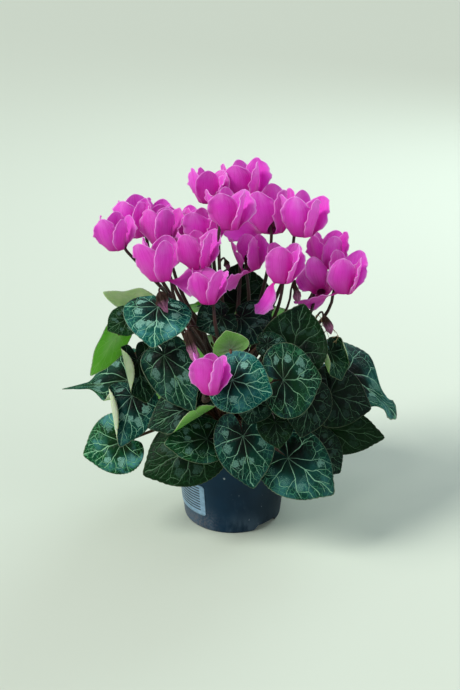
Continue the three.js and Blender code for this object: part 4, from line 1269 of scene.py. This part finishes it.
def crown_mesh(name, inner, outer):
    """The low collar or core that the stalks grow from; inner is 0 where it is full."""
    profile = [(inner, CROWN_BASE), (outer, CROWN_BASE), (outer - 0.6, CROWN_TOP - 2)]
    profile += [(outer - 2.4, CROWN_TOP), (inner, CROWN_TOP)]
    if inner > 0:
        profile.append(profile[0])
    bm = bmesh.new()
    turned(bm, profile, 48)
    return mesh_of(bm, name)


def calyx_point(placed, angle, q, tube):
    """A place on a calyx of five lobes that lies on the tube: q is 0 at the stalk."""
    lobe = abs(math.cos(math.radians(2.5 * (angle - 36)))) ** 0.8
    radius = 0.9 + (1.5 + 3.4 * lobe) * q
    height = tube * math.sqrt(max(0.05, 1 - (radius / 6.2) ** 2)) + 1.1 + 1.6 * (1 - q) ** 2
    return bloom_point(placed, radius, angle, height)


def faded_point(head, index, angle, t):
    """A place on a closed, crumpled flower: t is 0 at the hook and 1 at the lower end."""
    hook = seen(head["hook"])
    fall = seen(head["end"]) - hook
    way = fall.normalized()
    side = way.orthogonal().normalized()
    other = way.cross(side)
    body = max(0.0, math.sin(math.pi * min(1.0, t * 1.02))) ** 0.7
    ridge = 1 + 0.3 * math.sin(5 * angle + 3 * t + index) + 0.12 * math.sin(13 * angle + 7 * t)
    crumple = noise.noise(Vector((2 * math.cos(angle), 2 * math.sin(angle), 5 * t + 7 * index)))
    ridge += 0.62 * crumple * smoothstep(t, 0.1, 0.4)
    radius = head["thick"] * body * ridge * (0.75 + 0.25 * math.cos(4 * t + index))
    bend = side * math.sin(3 * t + index) * head["thick"] * 0.3
    round_it = side * math.cos(angle) + other * math.sin(angle)
    return hook + fall * (0.04 + 0.96 * t) + bend + round_it * radius


def stalk_finish(name, dark, light):
    """Fleshy skin with soft patches and long streaks."""
    finish = Finish(name)
    place = finish.place()
    streak = finish.streaks(place, (900.0, 900.0, 90.0))
    patch = finish.noise(place, 38.0, 3.0)
    finish.colour = finish.mix(finish.between(patch, 0.35, 0.7), dark, light)
    finish.coat(finish.between(streak, 0.5, 0.72, 0.0, 0.22), STALK_STREAK)
    height = finish.plus(finish.times(streak, 0.8), finish.noise(place, 1400.0, 2.0))
    return finish.surface(Roughness=0.46, Specular_IOR_Level=0.4, Normal=finish.bump(height, 0.4, 0.0003))


def faded_finish(settings):
    """Brown at the hook and withered pink below, with dark streaks."""
    finish = Finish("faded_petal")
    place = finish.place()
    patch = finish.noise(place, 150.0, 4.0)
    streak = finish.streaks(place, (900.0, 900.0, 120.0))
    low = finish.plus(finish.attribute("faded_low"), finish.times(patch, 0.5))
    finish.colour = finish.mix(finish.between(low, 0.62, 0.98), FADED_BROWN, settings.faded)
    finish.coat(finish.between(patch, 0.6, 0.75, 0.0, 0.5), FADED_PATCH)
    finish.coat(finish.between(streak, 0.5, 0.7, 0.0, 0.5), FADED_STREAK)
    return finish.surface(Roughness=0.8, Specular_IOR_Level=0.2, Normal=finish.bump(streak, 0.8, 0.0006))


def calyx_finish():
    """Dark red-brown with olive patches."""
    finish = Finish("calyx")
    patch = finish.noise(finish.place(), 220.0, 3.0)
    finish.colour = finish.mix(finish.between(patch, 0.3, 0.7), CALYX_DARK, CALYX_PATCH)
    return finish.surface(Roughness=0.6, Specular_IOR_Level=0.3, Normal=finish.bump(patch, 0.4, 0.0003))


# Pot, label, soil and tuber


def pot_radius(z):
    return POT_FOOT_RADIUS + (POT_TOP_RADIUS - POT_FOOT_RADIUS) * z / POT_STEP


def pot_profile():
    """From the middle of the underside round the foot ring, wall and rim to the floor inside."""
    ring = POT_FOOT_RADIUS - FOOT_WIDTH
    inner = POT_TOP_RADIUS - POT_WALL
    low_inner = POT_FOOT_RADIUS - POT_WALL
    underside = [
        (0, 0), (8, 0), (16, 0), (CENTRE_RADIUS - 0.6, 0), (CENTRE_RADIUS, 0.4),
        (CENTRE_RADIUS + 2, CHANNEL_HEIGHT - 0.4), (CENTRE_RADIUS + 3, CHANNEL_HEIGHT),
        (CHANNEL_MIDDLE, CHANNEL_HEIGHT), (ring - 1.4, CHANNEL_HEIGHT), (ring - 1, CHANNEL_HEIGHT - 0.4),
        (ring, 0.4), (ring + 0.6, 0), (ring + 2, 0),
    ]
    wall = [(POT_FOOT_RADIUS - 1.6, 0), (POT_FOOT_RADIUS - 0.6, 0.35), (POT_FOOT_RADIUS, 1.4)]
    wall += [(pot_radius(z), z) for z in WALL_HEIGHTS + (POT_STEP - 1.2,)]
    rim = [
        (POT_TOP_RADIUS + 0.3, POT_STEP - 0.3), (POT_TOP_RADIUS + 1.2, POT_STEP),
        (POT_RIM_RADIUS - 0.6, POT_STEP), (POT_RIM_RADIUS, POT_STEP + 0.6),
        (POT_RIM_RADIUS, POT_HEIGHT - 1.2), (POT_RIM_RADIUS - 0.35, POT_HEIGHT - 0.35),
        (POT_RIM_RADIUS - 1.2, POT_HEIGHT), (POT_TOP_RADIUS + 0.4, POT_HEIGHT),
        (POT_TOP_RADIUS - 0.6, POT_HEIGHT - 0.8),
    ]
    inside = [
        (inner, POT_STEP - 2), (inner - 2.6, 50), (low_inner - 1, FLOOR_TOP + 1),
        (low_inner - 2, FLOOR_TOP), (CHANNEL_MIDDLE, FLOOR_TOP), (0, FLOOR_TOP),
    ]
    return underside + wall + rim + inside


def notch_foot(bm):
    """Lifts the foot ring over the two notches."""
    for vert in bm.verts:
        radius = math.hypot(vert.co.x, vert.co.y)
        on_ring = POT_FOOT_RADIUS - FOOT_WIDTH - 1.2 <= radius <= POT_FOOT_RADIUS + 1
        if not on_ring or vert.co.z >= CHANNEL_HEIGHT:
            continue
        angle = math.degrees(math.atan2(vert.co.y, vert.co.x))
        for middle in NOTCH_ANGLES:
            off = abs((angle - middle + 180) % 360 - 180)
            aside = radius * math.sin(math.radians(min(off, 90)))
            lift = 1 - smoothstep(aside, NOTCH_WIDTH / 2 - 1.5, NOTCH_WIDTH / 2 + 1.0)
            vert.co.z += (CHANNEL_HEIGHT - vert.co.z) * lift


def cut_holes(pot):
    """Cuts the drain holes through the pot's floor."""
    cut = bmesh.new()
    for i in range(HOLE_COUNT):
        a = math.radians(360 / HOLE_COUNT * (i + 0.5))
        ring = bmesh.ops.create_cone(
            cut, cap_ends=True, segments=32, radius1=HOLE_RADIUS * MM, radius2=HOLE_RADIUS * MM,
            depth=HOLE_CUT_DEPTH * MM,
        )
        shift = Vector((math.cos(a) * HOLE_RING, math.sin(a) * HOLE_RING, CHANNEL_HEIGHT)) * MM
        bmesh.ops.translate(cut, vec=shift, verts=ring["verts"])
    tool = linked("drain_cut", mesh_of(cut, "drain_cut", 1))
    holes = pot.modifiers.new("Holes", "BOOLEAN")
    holes.object = tool
    holes.operation = "DIFFERENCE"
    made = evaluated_mesh(pot)
    pot.modifiers.clear()
    pot.data = made
    bpy.data.objects.remove(tool)


def tuber_profile(grow, steps):
    """The tuber's flattened round side and flat top, grown by an amount for its hollow."""
    middle, half = (TUBER_TOP + TUBER_BOTTOM) / 2, (TUBER_TOP - TUBER_BOTTOM) / 2
    profile = [(0, TUBER_BOTTOM - grow)]
    for i in range(1, steps + 1):
        a = -math.pi / 2 + math.pi * 0.75 * i / steps
        profile.append((math.cos(a) * TUBER_RADIUS + grow, middle + math.sin(a) * (half + grow)))
    profile += [(radius, TUBER_TOP + grow) for radius in (CROWN_FLAT, CROWN_FLAT / 2, 0)]
    return profile


def soil_profile():
    """The peat's underside and side, its domed top and the hollow for the tuber."""
    wall = POT_WALL + GAP
    bottom = FLOOR_TOP + GAP
    profile = [(0, bottom), (POT_FOOT_RADIUS - wall - 1.4, bottom)]
    profile.append((POT_TOP_RADIUS - wall - 0.8, SOIL_HEIGHT - 2))
    for radius in range(52, int(TUBER_RADIUS), -3):
        profile.append((radius, SOIL_HEIGHT + SOIL_DOME - SOIL_FALL * (radius - TUBER_RADIUS) ** 2))
    return profile + [place for place in reversed(tuber_profile(GAP, 10)) if place[1] < SOIL_HEIGHT]


def pot_finish(settings):
    """Moulded plastic with painted light low on the left side and earth there, painted shade on the right,
    smears, scuffs and one fleck.
    """
    finish = Finish("pot_plastic")
    place = finish.place()
    broad = finish.noise(place, 16.0, 3.0)
    grain = finish.noise(place, 900.0, 2.0)
    smear = finish.streaks(place, (60.0, 60.0, 22.0), 5.0, 0.6)
    across, _, height = finish.split(place)
    finish.colour = finish.mix(finish.between(broad, 0.3, 0.7), settings.plastic, POT_PATCH)
    # Dust, more of it near the ground
    low = finish.times(finish.between(height, 0.03, 0.0), finish.between(smear, 0.42, 0.68))
    dust = finish.calc("MAXIMUM", finish.times(low, 0.6), finish.between(smear, 0.62, 0.8, 0.0, 0.35))
    finish.coat(dust, settings.dust)
    # Painted light low on the left side, and earth
    faded = finish.times(finish.between(across, -0.012, -0.05), finish.between(height, 0.07, 0.012))
    faded = finish.times(faded, finish.between(smear, 0.3, 0.6, 0.5, 0.9))
    finish.coat(faded, POT_PAINTED_LIGHT)
    earth = finish.times(finish.between(across, -0.006, -0.04), finish.between(height, 0.034, 0.006))
    crumbs = finish.between(finish.noise(place, 420.0, 4.0, 0.7), 0.4, 0.62, 0.1, 0.85)
    finish.coat(finish.times(earth, crumbs), POT_EARTH)
    # Painted shade on the right side
    finish.coat(finish.between(across, 0.0, 0.05, 0.0, 0.6), POT_SHADE)
    # Scuffs and the fleck
    scuffs = finish.streaks(place, (420.0, 420.0, 160.0), 2.0)
    rare = finish.times(finish.between(scuffs, 0.72, 0.78), finish.between(broad, 0.5, 0.6))
    finish.coat(finish.times(rare, 0.6), POT_SCUFF)
    ragged = finish.scaled(finish.noise(place, 500.0, 2.0, colour=True), 0.004)
    fleck = finish.vector("DISTANCE", finish.vector("ADD", place, ragged), FLECK, output="Value")
    finish.coat(finish.between(fleck, 0.0013, 0.0007, 0.0, 0.9), POT_FLECK)
    rough = finish.plus(finish.between(smear, 0.3, 0.7, 0.42, 0.58, "LINEAR"), finish.times(dust, 0.2))
    return finish.surface(Roughness=rough, Specular_IOR_Level=0.16, Normal=finish.bump(grain, 0.25, 0.0002))


def on_label_map(vert):
    return (vert.co.x + 1) / 2, (vert.co.y + 1) / 2


def label_finish(settings):
    """Worn pale stock with level bars and a plain margin."""
    finish = Finish("label_stock")
    u, v, _ = finish.split(finish.map("label"))
    worn = finish.noise(finish.join(u, v), 9.0, 4.0)
    fine = finish.noise(finish.join(u, v), 120.0, 2.0)
    rows = finish.calc("FRACT", finish.times(finish.less(v, LABEL_MARGIN), LABEL_BARS))
    bar = finish.times(finish.between(rows, 0.3, 0.42), finish.between(rows, 0.92, 0.8))
    inside = finish.times(finish.between(u, 0.06, 0.09), finish.between(u, 0.9, 0.87))
    level = finish.times(finish.between(v, 0.11, 0.12), finish.between(v, 0.95, 0.94))
    bar = finish.times(bar, finish.times(inside, level))
    patchy = finish.noise(finish.join(finish.times(u, 1.5), finish.times(v, LABEL_BARS)), 3.0, 1.0)
    bar = finish.times(bar, finish.between(patchy, 0.25, 0.45, 0.75, 1.0))
    finish.colour = finish.mix(finish.between(worn, 0.35, 0.7, 0.0, 0.5), settings.label, LABEL_WORN)
    finish.coat(bar, settings.bars)
    rough = finish.between(worn, 0.3, 0.7, 0.35, 0.5, "LINEAR")
    return finish.surface(Roughness=rough, Normal=finish.bump(fine, 0.15, 0.0001))


def soil_finish(settings):
    """Dark clumps with sparse pale grit."""
    finish = Finish("soil_peat")
    place = finish.place()
    clump = finish.noise(place, 260.0, 5.0, 0.65)
    fine = finish.noise(place, 1300.0, 3.0)
    grit = finish.add("ShaderNodeTexVoronoi", "Distance", Vector=place, Scale=240.0)
    finish.colour = finish.mix(finish.between(clump, 0.35, 0.7), settings.soil, SOIL_CLUMP)
    finish.coat(finish.between(grit, 0.16, 0.1, 0.0, 0.5), SOIL_GRIT)
    height = finish.plus(clump, finish.times(fine, 0.4))
    return finish.surface(Roughness=0.95, Specular_IOR_Level=0.2, Normal=finish.bump(height, 1.0, 0.0012))


def tuber_finish(settings):
    """Cork with dark cracks."""
    finish = Finish("tuber_skin")
    place = finish.place()
    cork = finish.cell_edges(place, 210.0)
    patch = finish.noise(place, 90.0, 4.0)
    finish.colour = finish.mix(finish.between(patch, 0.3, 0.7), settings.tuber, TUBER_PATCH)
    finish.coat(finish.between(cork, 0.1, 0.0, 0.0, 0.7), TUBER_CRACK)
    height = finish.plus(finish.between(cork, 0.0, 0.2), patch)
    return finish.surface(Roughness=0.88, Specular_IOR_Level=0.25, Normal=finish.bump(height, 0.9, 0.001))


class CYCLAMEN_OT_pot(bpy.types.Operator):
    """Builds the tapered pot with its rim, foot ring, notches and drain holes"""

    bl_idname = "cyclamen.pot"
    bl_label = "Build pot"

    def execute(self, context):
        bm = bmesh.new()
        turned(bm, pot_profile(), POT_SEGMENTS)
        notch_foot(bm)
        finish = pot_finish(context.scene.cyclamen_pot)
        cut_holes(finish_shape("pot_body", bm, ["pot"], "pot", finish))
        return {"FINISHED"}


class CYCLAMEN_OT_label(bpy.types.Operator):
    """Builds the thin label that follows the pot's taper"""

    bl_idname = "cyclamen.label"
    bl_label = "Build label"

    def execute(self, context):
        bm = flat_grid(LABEL_COLUMNS, LABEL_ROWS)
        add_map(bm, "label", on_label_map)
        for vert in bm.verts:
            u, v = on_label_map(vert)
            corner = 0.03 * (smoothstep(abs(vert.co.x), 0.93, 1.0) * smoothstep(abs(vert.co.y), 0.9, 1.0))
            angle = math.radians(LABEL_FROM + (LABEL_TO - LABEL_FROM) * (u + (0.5 - u) * corner))
            z = LABEL_LOW + (LABEL_HIGH - LABEL_LOW) * (v + (0.5 - v) * corner * 2)
            radius = pot_radius(z) + GAP + LABEL_THICKNESS / 2
            vert.co = (math.cos(angle) * radius, math.sin(angle) * radius, z)
        finish = label_finish(context.scene.cyclamen_pot)
        sheet = finish_shape("label_sheet", bm, ["label"], "label", finish)
        thicken(sheet, LABEL_THICKNESS * MM)
        return {"FINISHED"}


class CYCLAMEN_OT_soil(bpy.types.Operator):
    """Builds the peat with its lumpy top and the half-buried tuber"""

    bl_idname = "cyclamen.soil"
    bl_label = "Build soil and tuber"

    def execute(self, context):
        settings = context.scene.cyclamen_pot
        bm = bmesh.new()
        turned(bm, soil_profile(), 128)
        bm.normal_update()
        for vert in bm.verts:
            radius = math.hypot(vert.co.x, vert.co.y)
            if vert.co.z > SOIL_HEIGHT - 1.5 and 28.5 < radius < 52.5:
                vert.co.z += 1.5 * noise.noise(vert.co / 5) + 0.9 * noise.noise(vert.co / 2.1) - 0.4
        finish_shape("soil_peat", bm, ["soil"], "soil", soil_finish(settings))
        bm = bmesh.new()
        turned(bm, tuber_profile(0.0, 22), 96)
        bm.normal_update()
        for vert in bm.verts:
            if vert.co.z < TUBER_TOP - 2.5:
                knobs = 0.5 * noise.noise(vert.co / 4) + 0.25 * noise.noise(vert.co / 1.6)
                vert.co -= vert.normal * (0.35 + knobs)
        finish_shape("tuber_body", bm, ["tuber"], "tuber", tuber_finish(settings))
        return {"FINISHED"}


class CYCLAMEN_OT_leaf_stalks(bpy.types.Operator):
    """Builds the crown and a stalk for each leaf"""

    bl_idname = "cyclamen.leaf_stalks"
    bl_label = "Build leaf stalks"

    def execute(self, context):
        settings = context.scene.cyclamen_stalks
        root, tip = settings.leaf_root / MM, settings.leaf_tip / MM
        leaves = list(LEAVES)
        for tier in BACK_TIERS:
            leaves += back_leaves(tier)
        radii = [root + (tip - root) * i / LEAF_STALK_STEPS for i in range(LEAF_STALK_STEPS + 1)]
        stalks = curve_bodies("stalks", [(leaf_stalk_line(leaf), radii) for leaf in leaves])
        crown = crown_mesh("crown", CORE_RADIUS + GAP, CROWN_FLAT)
        mesh = mesh_of(merged(bmesh.new(), stalks, crown), "leaf_stalks_body", 1)
        finish = stalk_finish("leaf_stalk", settings.leaf, LEAF_STALK_PATCH)
        finish_piece("leaf_stalks_body", mesh, ["leaf_stalks"], "leaf_stalk", finish)
        return {"FINISHED"}


class CYCLAMEN_OT_flower_stalks(bpy.types.Operator):
    """Builds the flower stalks with their hooks, calyces, faded flowers and buds"""

    bl_idname = "cyclamen.flower_stalks"
    bl_label = "Build flower stalks"

    def execute(self, context):
        settings = context.scene.cyclamen_stalks
        blooms = context.scene.cyclamen_blooms
        self.stalks(settings, blooms)
        self.strands()
        self.calyces(blooms)
        self.faded(settings)
        return {"FINISHED"}

    def stalks(self, settings, blooms):
        root, tip = settings.flower_root / MM, settings.flower_tip / MM
        thin_by = FLOWER_STALK_STEPS - 1
        lines = []
        for bloom in BLOOMS:
            line = flower_stalk_line(bloom, blooms)
            lines.append((line, [root + (tip - root) * min(1.0, i / thin_by) for i in range(len(line))]))
        for head in FADED:
            line = faded_line(head)
            radii = [max(FADED_STALK_LEAST, FADED_STALK_RADIUS - 0.05 * i) for i in range(len(line))]
            lines.append((line, radii))
        bodies = curve_bodies("stalks", lines)
        core = crown_mesh("core", 0.0, CORE_RADIUS)
        mesh = mesh_of(merged(bmesh.new(), bodies, core), "flower_stalks_body", 1)
        finish = stalk_finish("flower_stalk", settings.flower, FLOWER_STALK_PATCH)
        finish_piece("flower_stalks_body", mesh, ["flower_stalks"], "flower_stalk", finish)

    def strands(self):
        lines = []
        for strand in STRANDS:
            line = rounded([seen(strand[key]) for key in ("start", "over", "end")], STRAND_STEPS)
            line = [place + curl(place / 8) * STRAND_CURL for place in line]
            lines.append((line, [STRAND_RADIUS - 0.014 * i for i in range(len(line))]))
        finish = stalk_finish("dry_strand", STRAND_PALE, STRAND_PATCH)
        finish_piece("dry_strands", curve_bodies("dry_strands", lines), [], "leaf_stalk", finish)

    def calyces(self, blooms):
        bm = bmesh.new()
        for bloom in BLOOMS:
            placed = bloom_frame(bloom)
            piece = flat_grid(40, 8)
            for vert in piece.verts:
                q = (vert.co.y + 1) / 2
                vert.co = calyx_point(placed, 180 * vert.co.x, q, blooms.tube_height / MM)
            bmesh.ops.remove_doubles(piece, verts=piece.verts, dist=MERGE)
            merged(bm, mesh_of(piece, "calyx", 1))
        bmesh.ops.recalc_face_normals(bm, faces=bm.faces)
        thicken(finish_shape("calyces", bm, [], "flower_stalk", calyx_finish()), CALYX_THICKNESS * MM)

    def faded(self, settings):
        bm = bmesh.new()
        for index, head in enumerate(FADED):
            piece = flat_grid(60, 30)
            low = piece.verts.layers.float.new("faded_low")
            for vert in piece.verts:
                t = (vert.co.y + 1) / 2
                vert[low] = t
                vert.co = faded_point(head, index, math.pi * vert.co.x, t)
            bmesh.ops.remove_doubles(piece, verts=piece.verts, dist=MERGE)
            merged(bm, mesh_of(piece, "faded", 1))
        bmesh.ops.recalc_face_normals(bm, faces=bm.faces)
        finish_shape("faded_flowers", bm, [], "flower_stalk", faded_finish(settings))


class CYCLAMEN_OT_leaves(bpy.types.Operator):
    """Builds every leaf blade, with the tiers behind as one piece each"""

    bl_idname = "cyclamen.leaves"
    bl_label = "Build leaves"

    def execute(self, context):
        settings = context.scene.cyclamen_leaves
        finishes = [leaf_top_finish(settings), leaf_under_finish(settings)]
        groups = [(leaf["name"], [leaf]) for leaf in LEAVES]
        groups += [(tier["name"], back_leaves(tier)) for tier in BACK_TIERS]
        seed = 0
        for node, leaves in groups:
            bm = bmesh.new()
            for leaf in leaves:
                seed += 1
                add_leaf(bm, leaf, settings, seed * 3.71)
            blade = finish_shape(node + "_blade", bm, [node], "leaf", *finishes)
            thicken(blade, settings.thickness, under=1)
        return {"FINISHED"}


class CYCLAMEN_OT_blooms(bpy.types.Operator):
    """Builds the blooms, five petals each, joined at the mouth"""

    bl_idname = "cyclamen.blooms"
    bl_label = "Build blooms"

    def execute(self, context):
        settings = context.scene.cyclamen_blooms
        finish = petal_finish(settings)
        for index, bloom in enumerate(BLOOMS):
            name = "bloom_%02d" % (index + 1)
            bm = bmesh.new()
            add_bloom(bm, bloom, settings, random.Random(BLOOM_SEED + index))
            petals = finish_shape(name + "_petals", bm, [name], "petal", finish)
            thicken(petals, settings.petal_thickness)
        return {"FINISHED"}


class CYCLAMEN_OT_stage(bpy.types.Operator):
    """Sets the pale floor, the soft lights and the camera"""

    bl_idname = "cyclamen.stage"
    bl_label = "Set stage"

    def execute(self, context):
        settings = context.scene.cyclamen_stage
        scene = context.scene
        bm = bmesh.new()
        bmesh.ops.create_grid(bm, x_segments=1, y_segments=1, size=FLOOR_HALF)
        mesh = mesh_of(bm, "floor", 1)
        finish = Finish("floor_pale")
        mesh.materials.append(finish.surface(Base_Color=settings.floor, Roughness=0.9))
        linked("floor", mesh)
        world = bpy.data.worlds.new("even_light")
        world.use_nodes = True
        world.node_tree.nodes["Background"].inputs["Color"].default_value = SKY_COLOUR
        world.node_tree.nodes["Background"].inputs["Strength"].default_value = settings.sky
        scene.world = world
        sun = bpy.data.lights.new("key_light", "SUN")
        sun.energy = settings.key
        sun.angle = math.radians(KEY_SOFTNESS)
        sun.color = KEY_COLOUR
        self.turn(linked("key_light", sun), Vector(KEY_DIRECTION))
        self.lamp("back_light", settings.back, **BACK_LAMP)
        self.lamp("side_light", settings.side, **SIDE_LAMP)
        data = bpy.data.cameras.new("camera")
        data.sensor_fit = "VERTICAL"
        data.sensor_height = SENSOR_HEIGHT
        data.lens = PICTURE_SCALE / PICTURE_HEIGHT * SENSOR_HEIGHT
        data.clip_start = CLIP_START
        data.clip_end = CLIP_END
        camera = linked("camera", data)
        camera.location = VIEW_PLACE * MM
        camera.rotation_euler = (math.radians(90 - VIEW_TILT), 0.0, 0.0)
        scene.camera = camera
        scene.view_settings.view_transform = "Standard"
        return {"FINISHED"}

    def turn(self, light, way):
        light.rotation_euler = way.to_track_quat("-Z", "Y").to_euler()

    def lamp(self, name, power, place, size, colour):
        data = bpy.data.lights.new(name, "AREA")
        data.shape = "DISK"
        data.size = size
        data.energy = power
        data.color = colour
        light = linked(name, data)
        light.location = place
        self.turn(light, Vector(LAMP_AIM) - Vector(place))


class CYCLAMEN_PT_panel(bpy.types.Panel):
    """Lists the pieces and their settings"""

    bl_idname = "CYCLAMEN_PT_panel"
    bl_label = "Potted cyclamen"
    bl_space_type = "VIEW_3D"
    bl_region_type = "UI"
    bl_category = "Cyclamen"

    def draw(self, context):
        layout = self.layout
        for attribute, group, operators in SECTIONS:
            box = layout.box()
            settings = getattr(context.scene, attribute)
            for name in group.__annotations__:
                box.prop(settings, name)
            for operator in operators:
                box.operator(operator.bl_idname)


SECTIONS = (
    ("cyclamen_pot", CyclamenPotSettings, (CYCLAMEN_OT_pot, CYCLAMEN_OT_label, CYCLAMEN_OT_soil)),
    ("cyclamen_stalks", CyclamenStalkSettings, (CYCLAMEN_OT_leaf_stalks, CYCLAMEN_OT_flower_stalks)),
    ("cyclamen_leaves", CyclamenLeafSettings, (CYCLAMEN_OT_leaves,)),
    ("cyclamen_blooms", CyclamenBloomSettings, (CYCLAMEN_OT_blooms,)),
    ("cyclamen_stage", CyclamenStageSettings, (CYCLAMEN_OT_stage,)),
)


def register():
    for attribute, group, operators in SECTIONS:
        bpy.utils.register_class(group)
        setattr(bpy.types.Scene, attribute, bpy.props.PointerProperty(type=group))
        for operator in operators:
            bpy.utils.register_class(operator)
    bpy.utils.register_class(CYCLAMEN_PT_panel)


def unregister():
    bpy.utils.unregister_class(CYCLAMEN_PT_panel)
    for attribute, group, operators in reversed(SECTIONS):
        for operator in operators:
            bpy.utils.unregister_class(operator)
        delattr(bpy.types.Scene, attribute)
        bpy.utils.unregister_class(group)


def main():
    register()
    bpy.ops.cyclamen.stage()
    bpy.ops.cyclamen.pot()
    bpy.ops.cyclamen.label()
    bpy.ops.cyclamen.soil()
    bpy.ops.cyclamen.leaf_stalks()
    bpy.ops.cyclamen.flower_stalks()
    bpy.ops.cyclamen.leaves()
    bpy.ops.cyclamen.blooms()


if __name__ == "__main__":
    main()
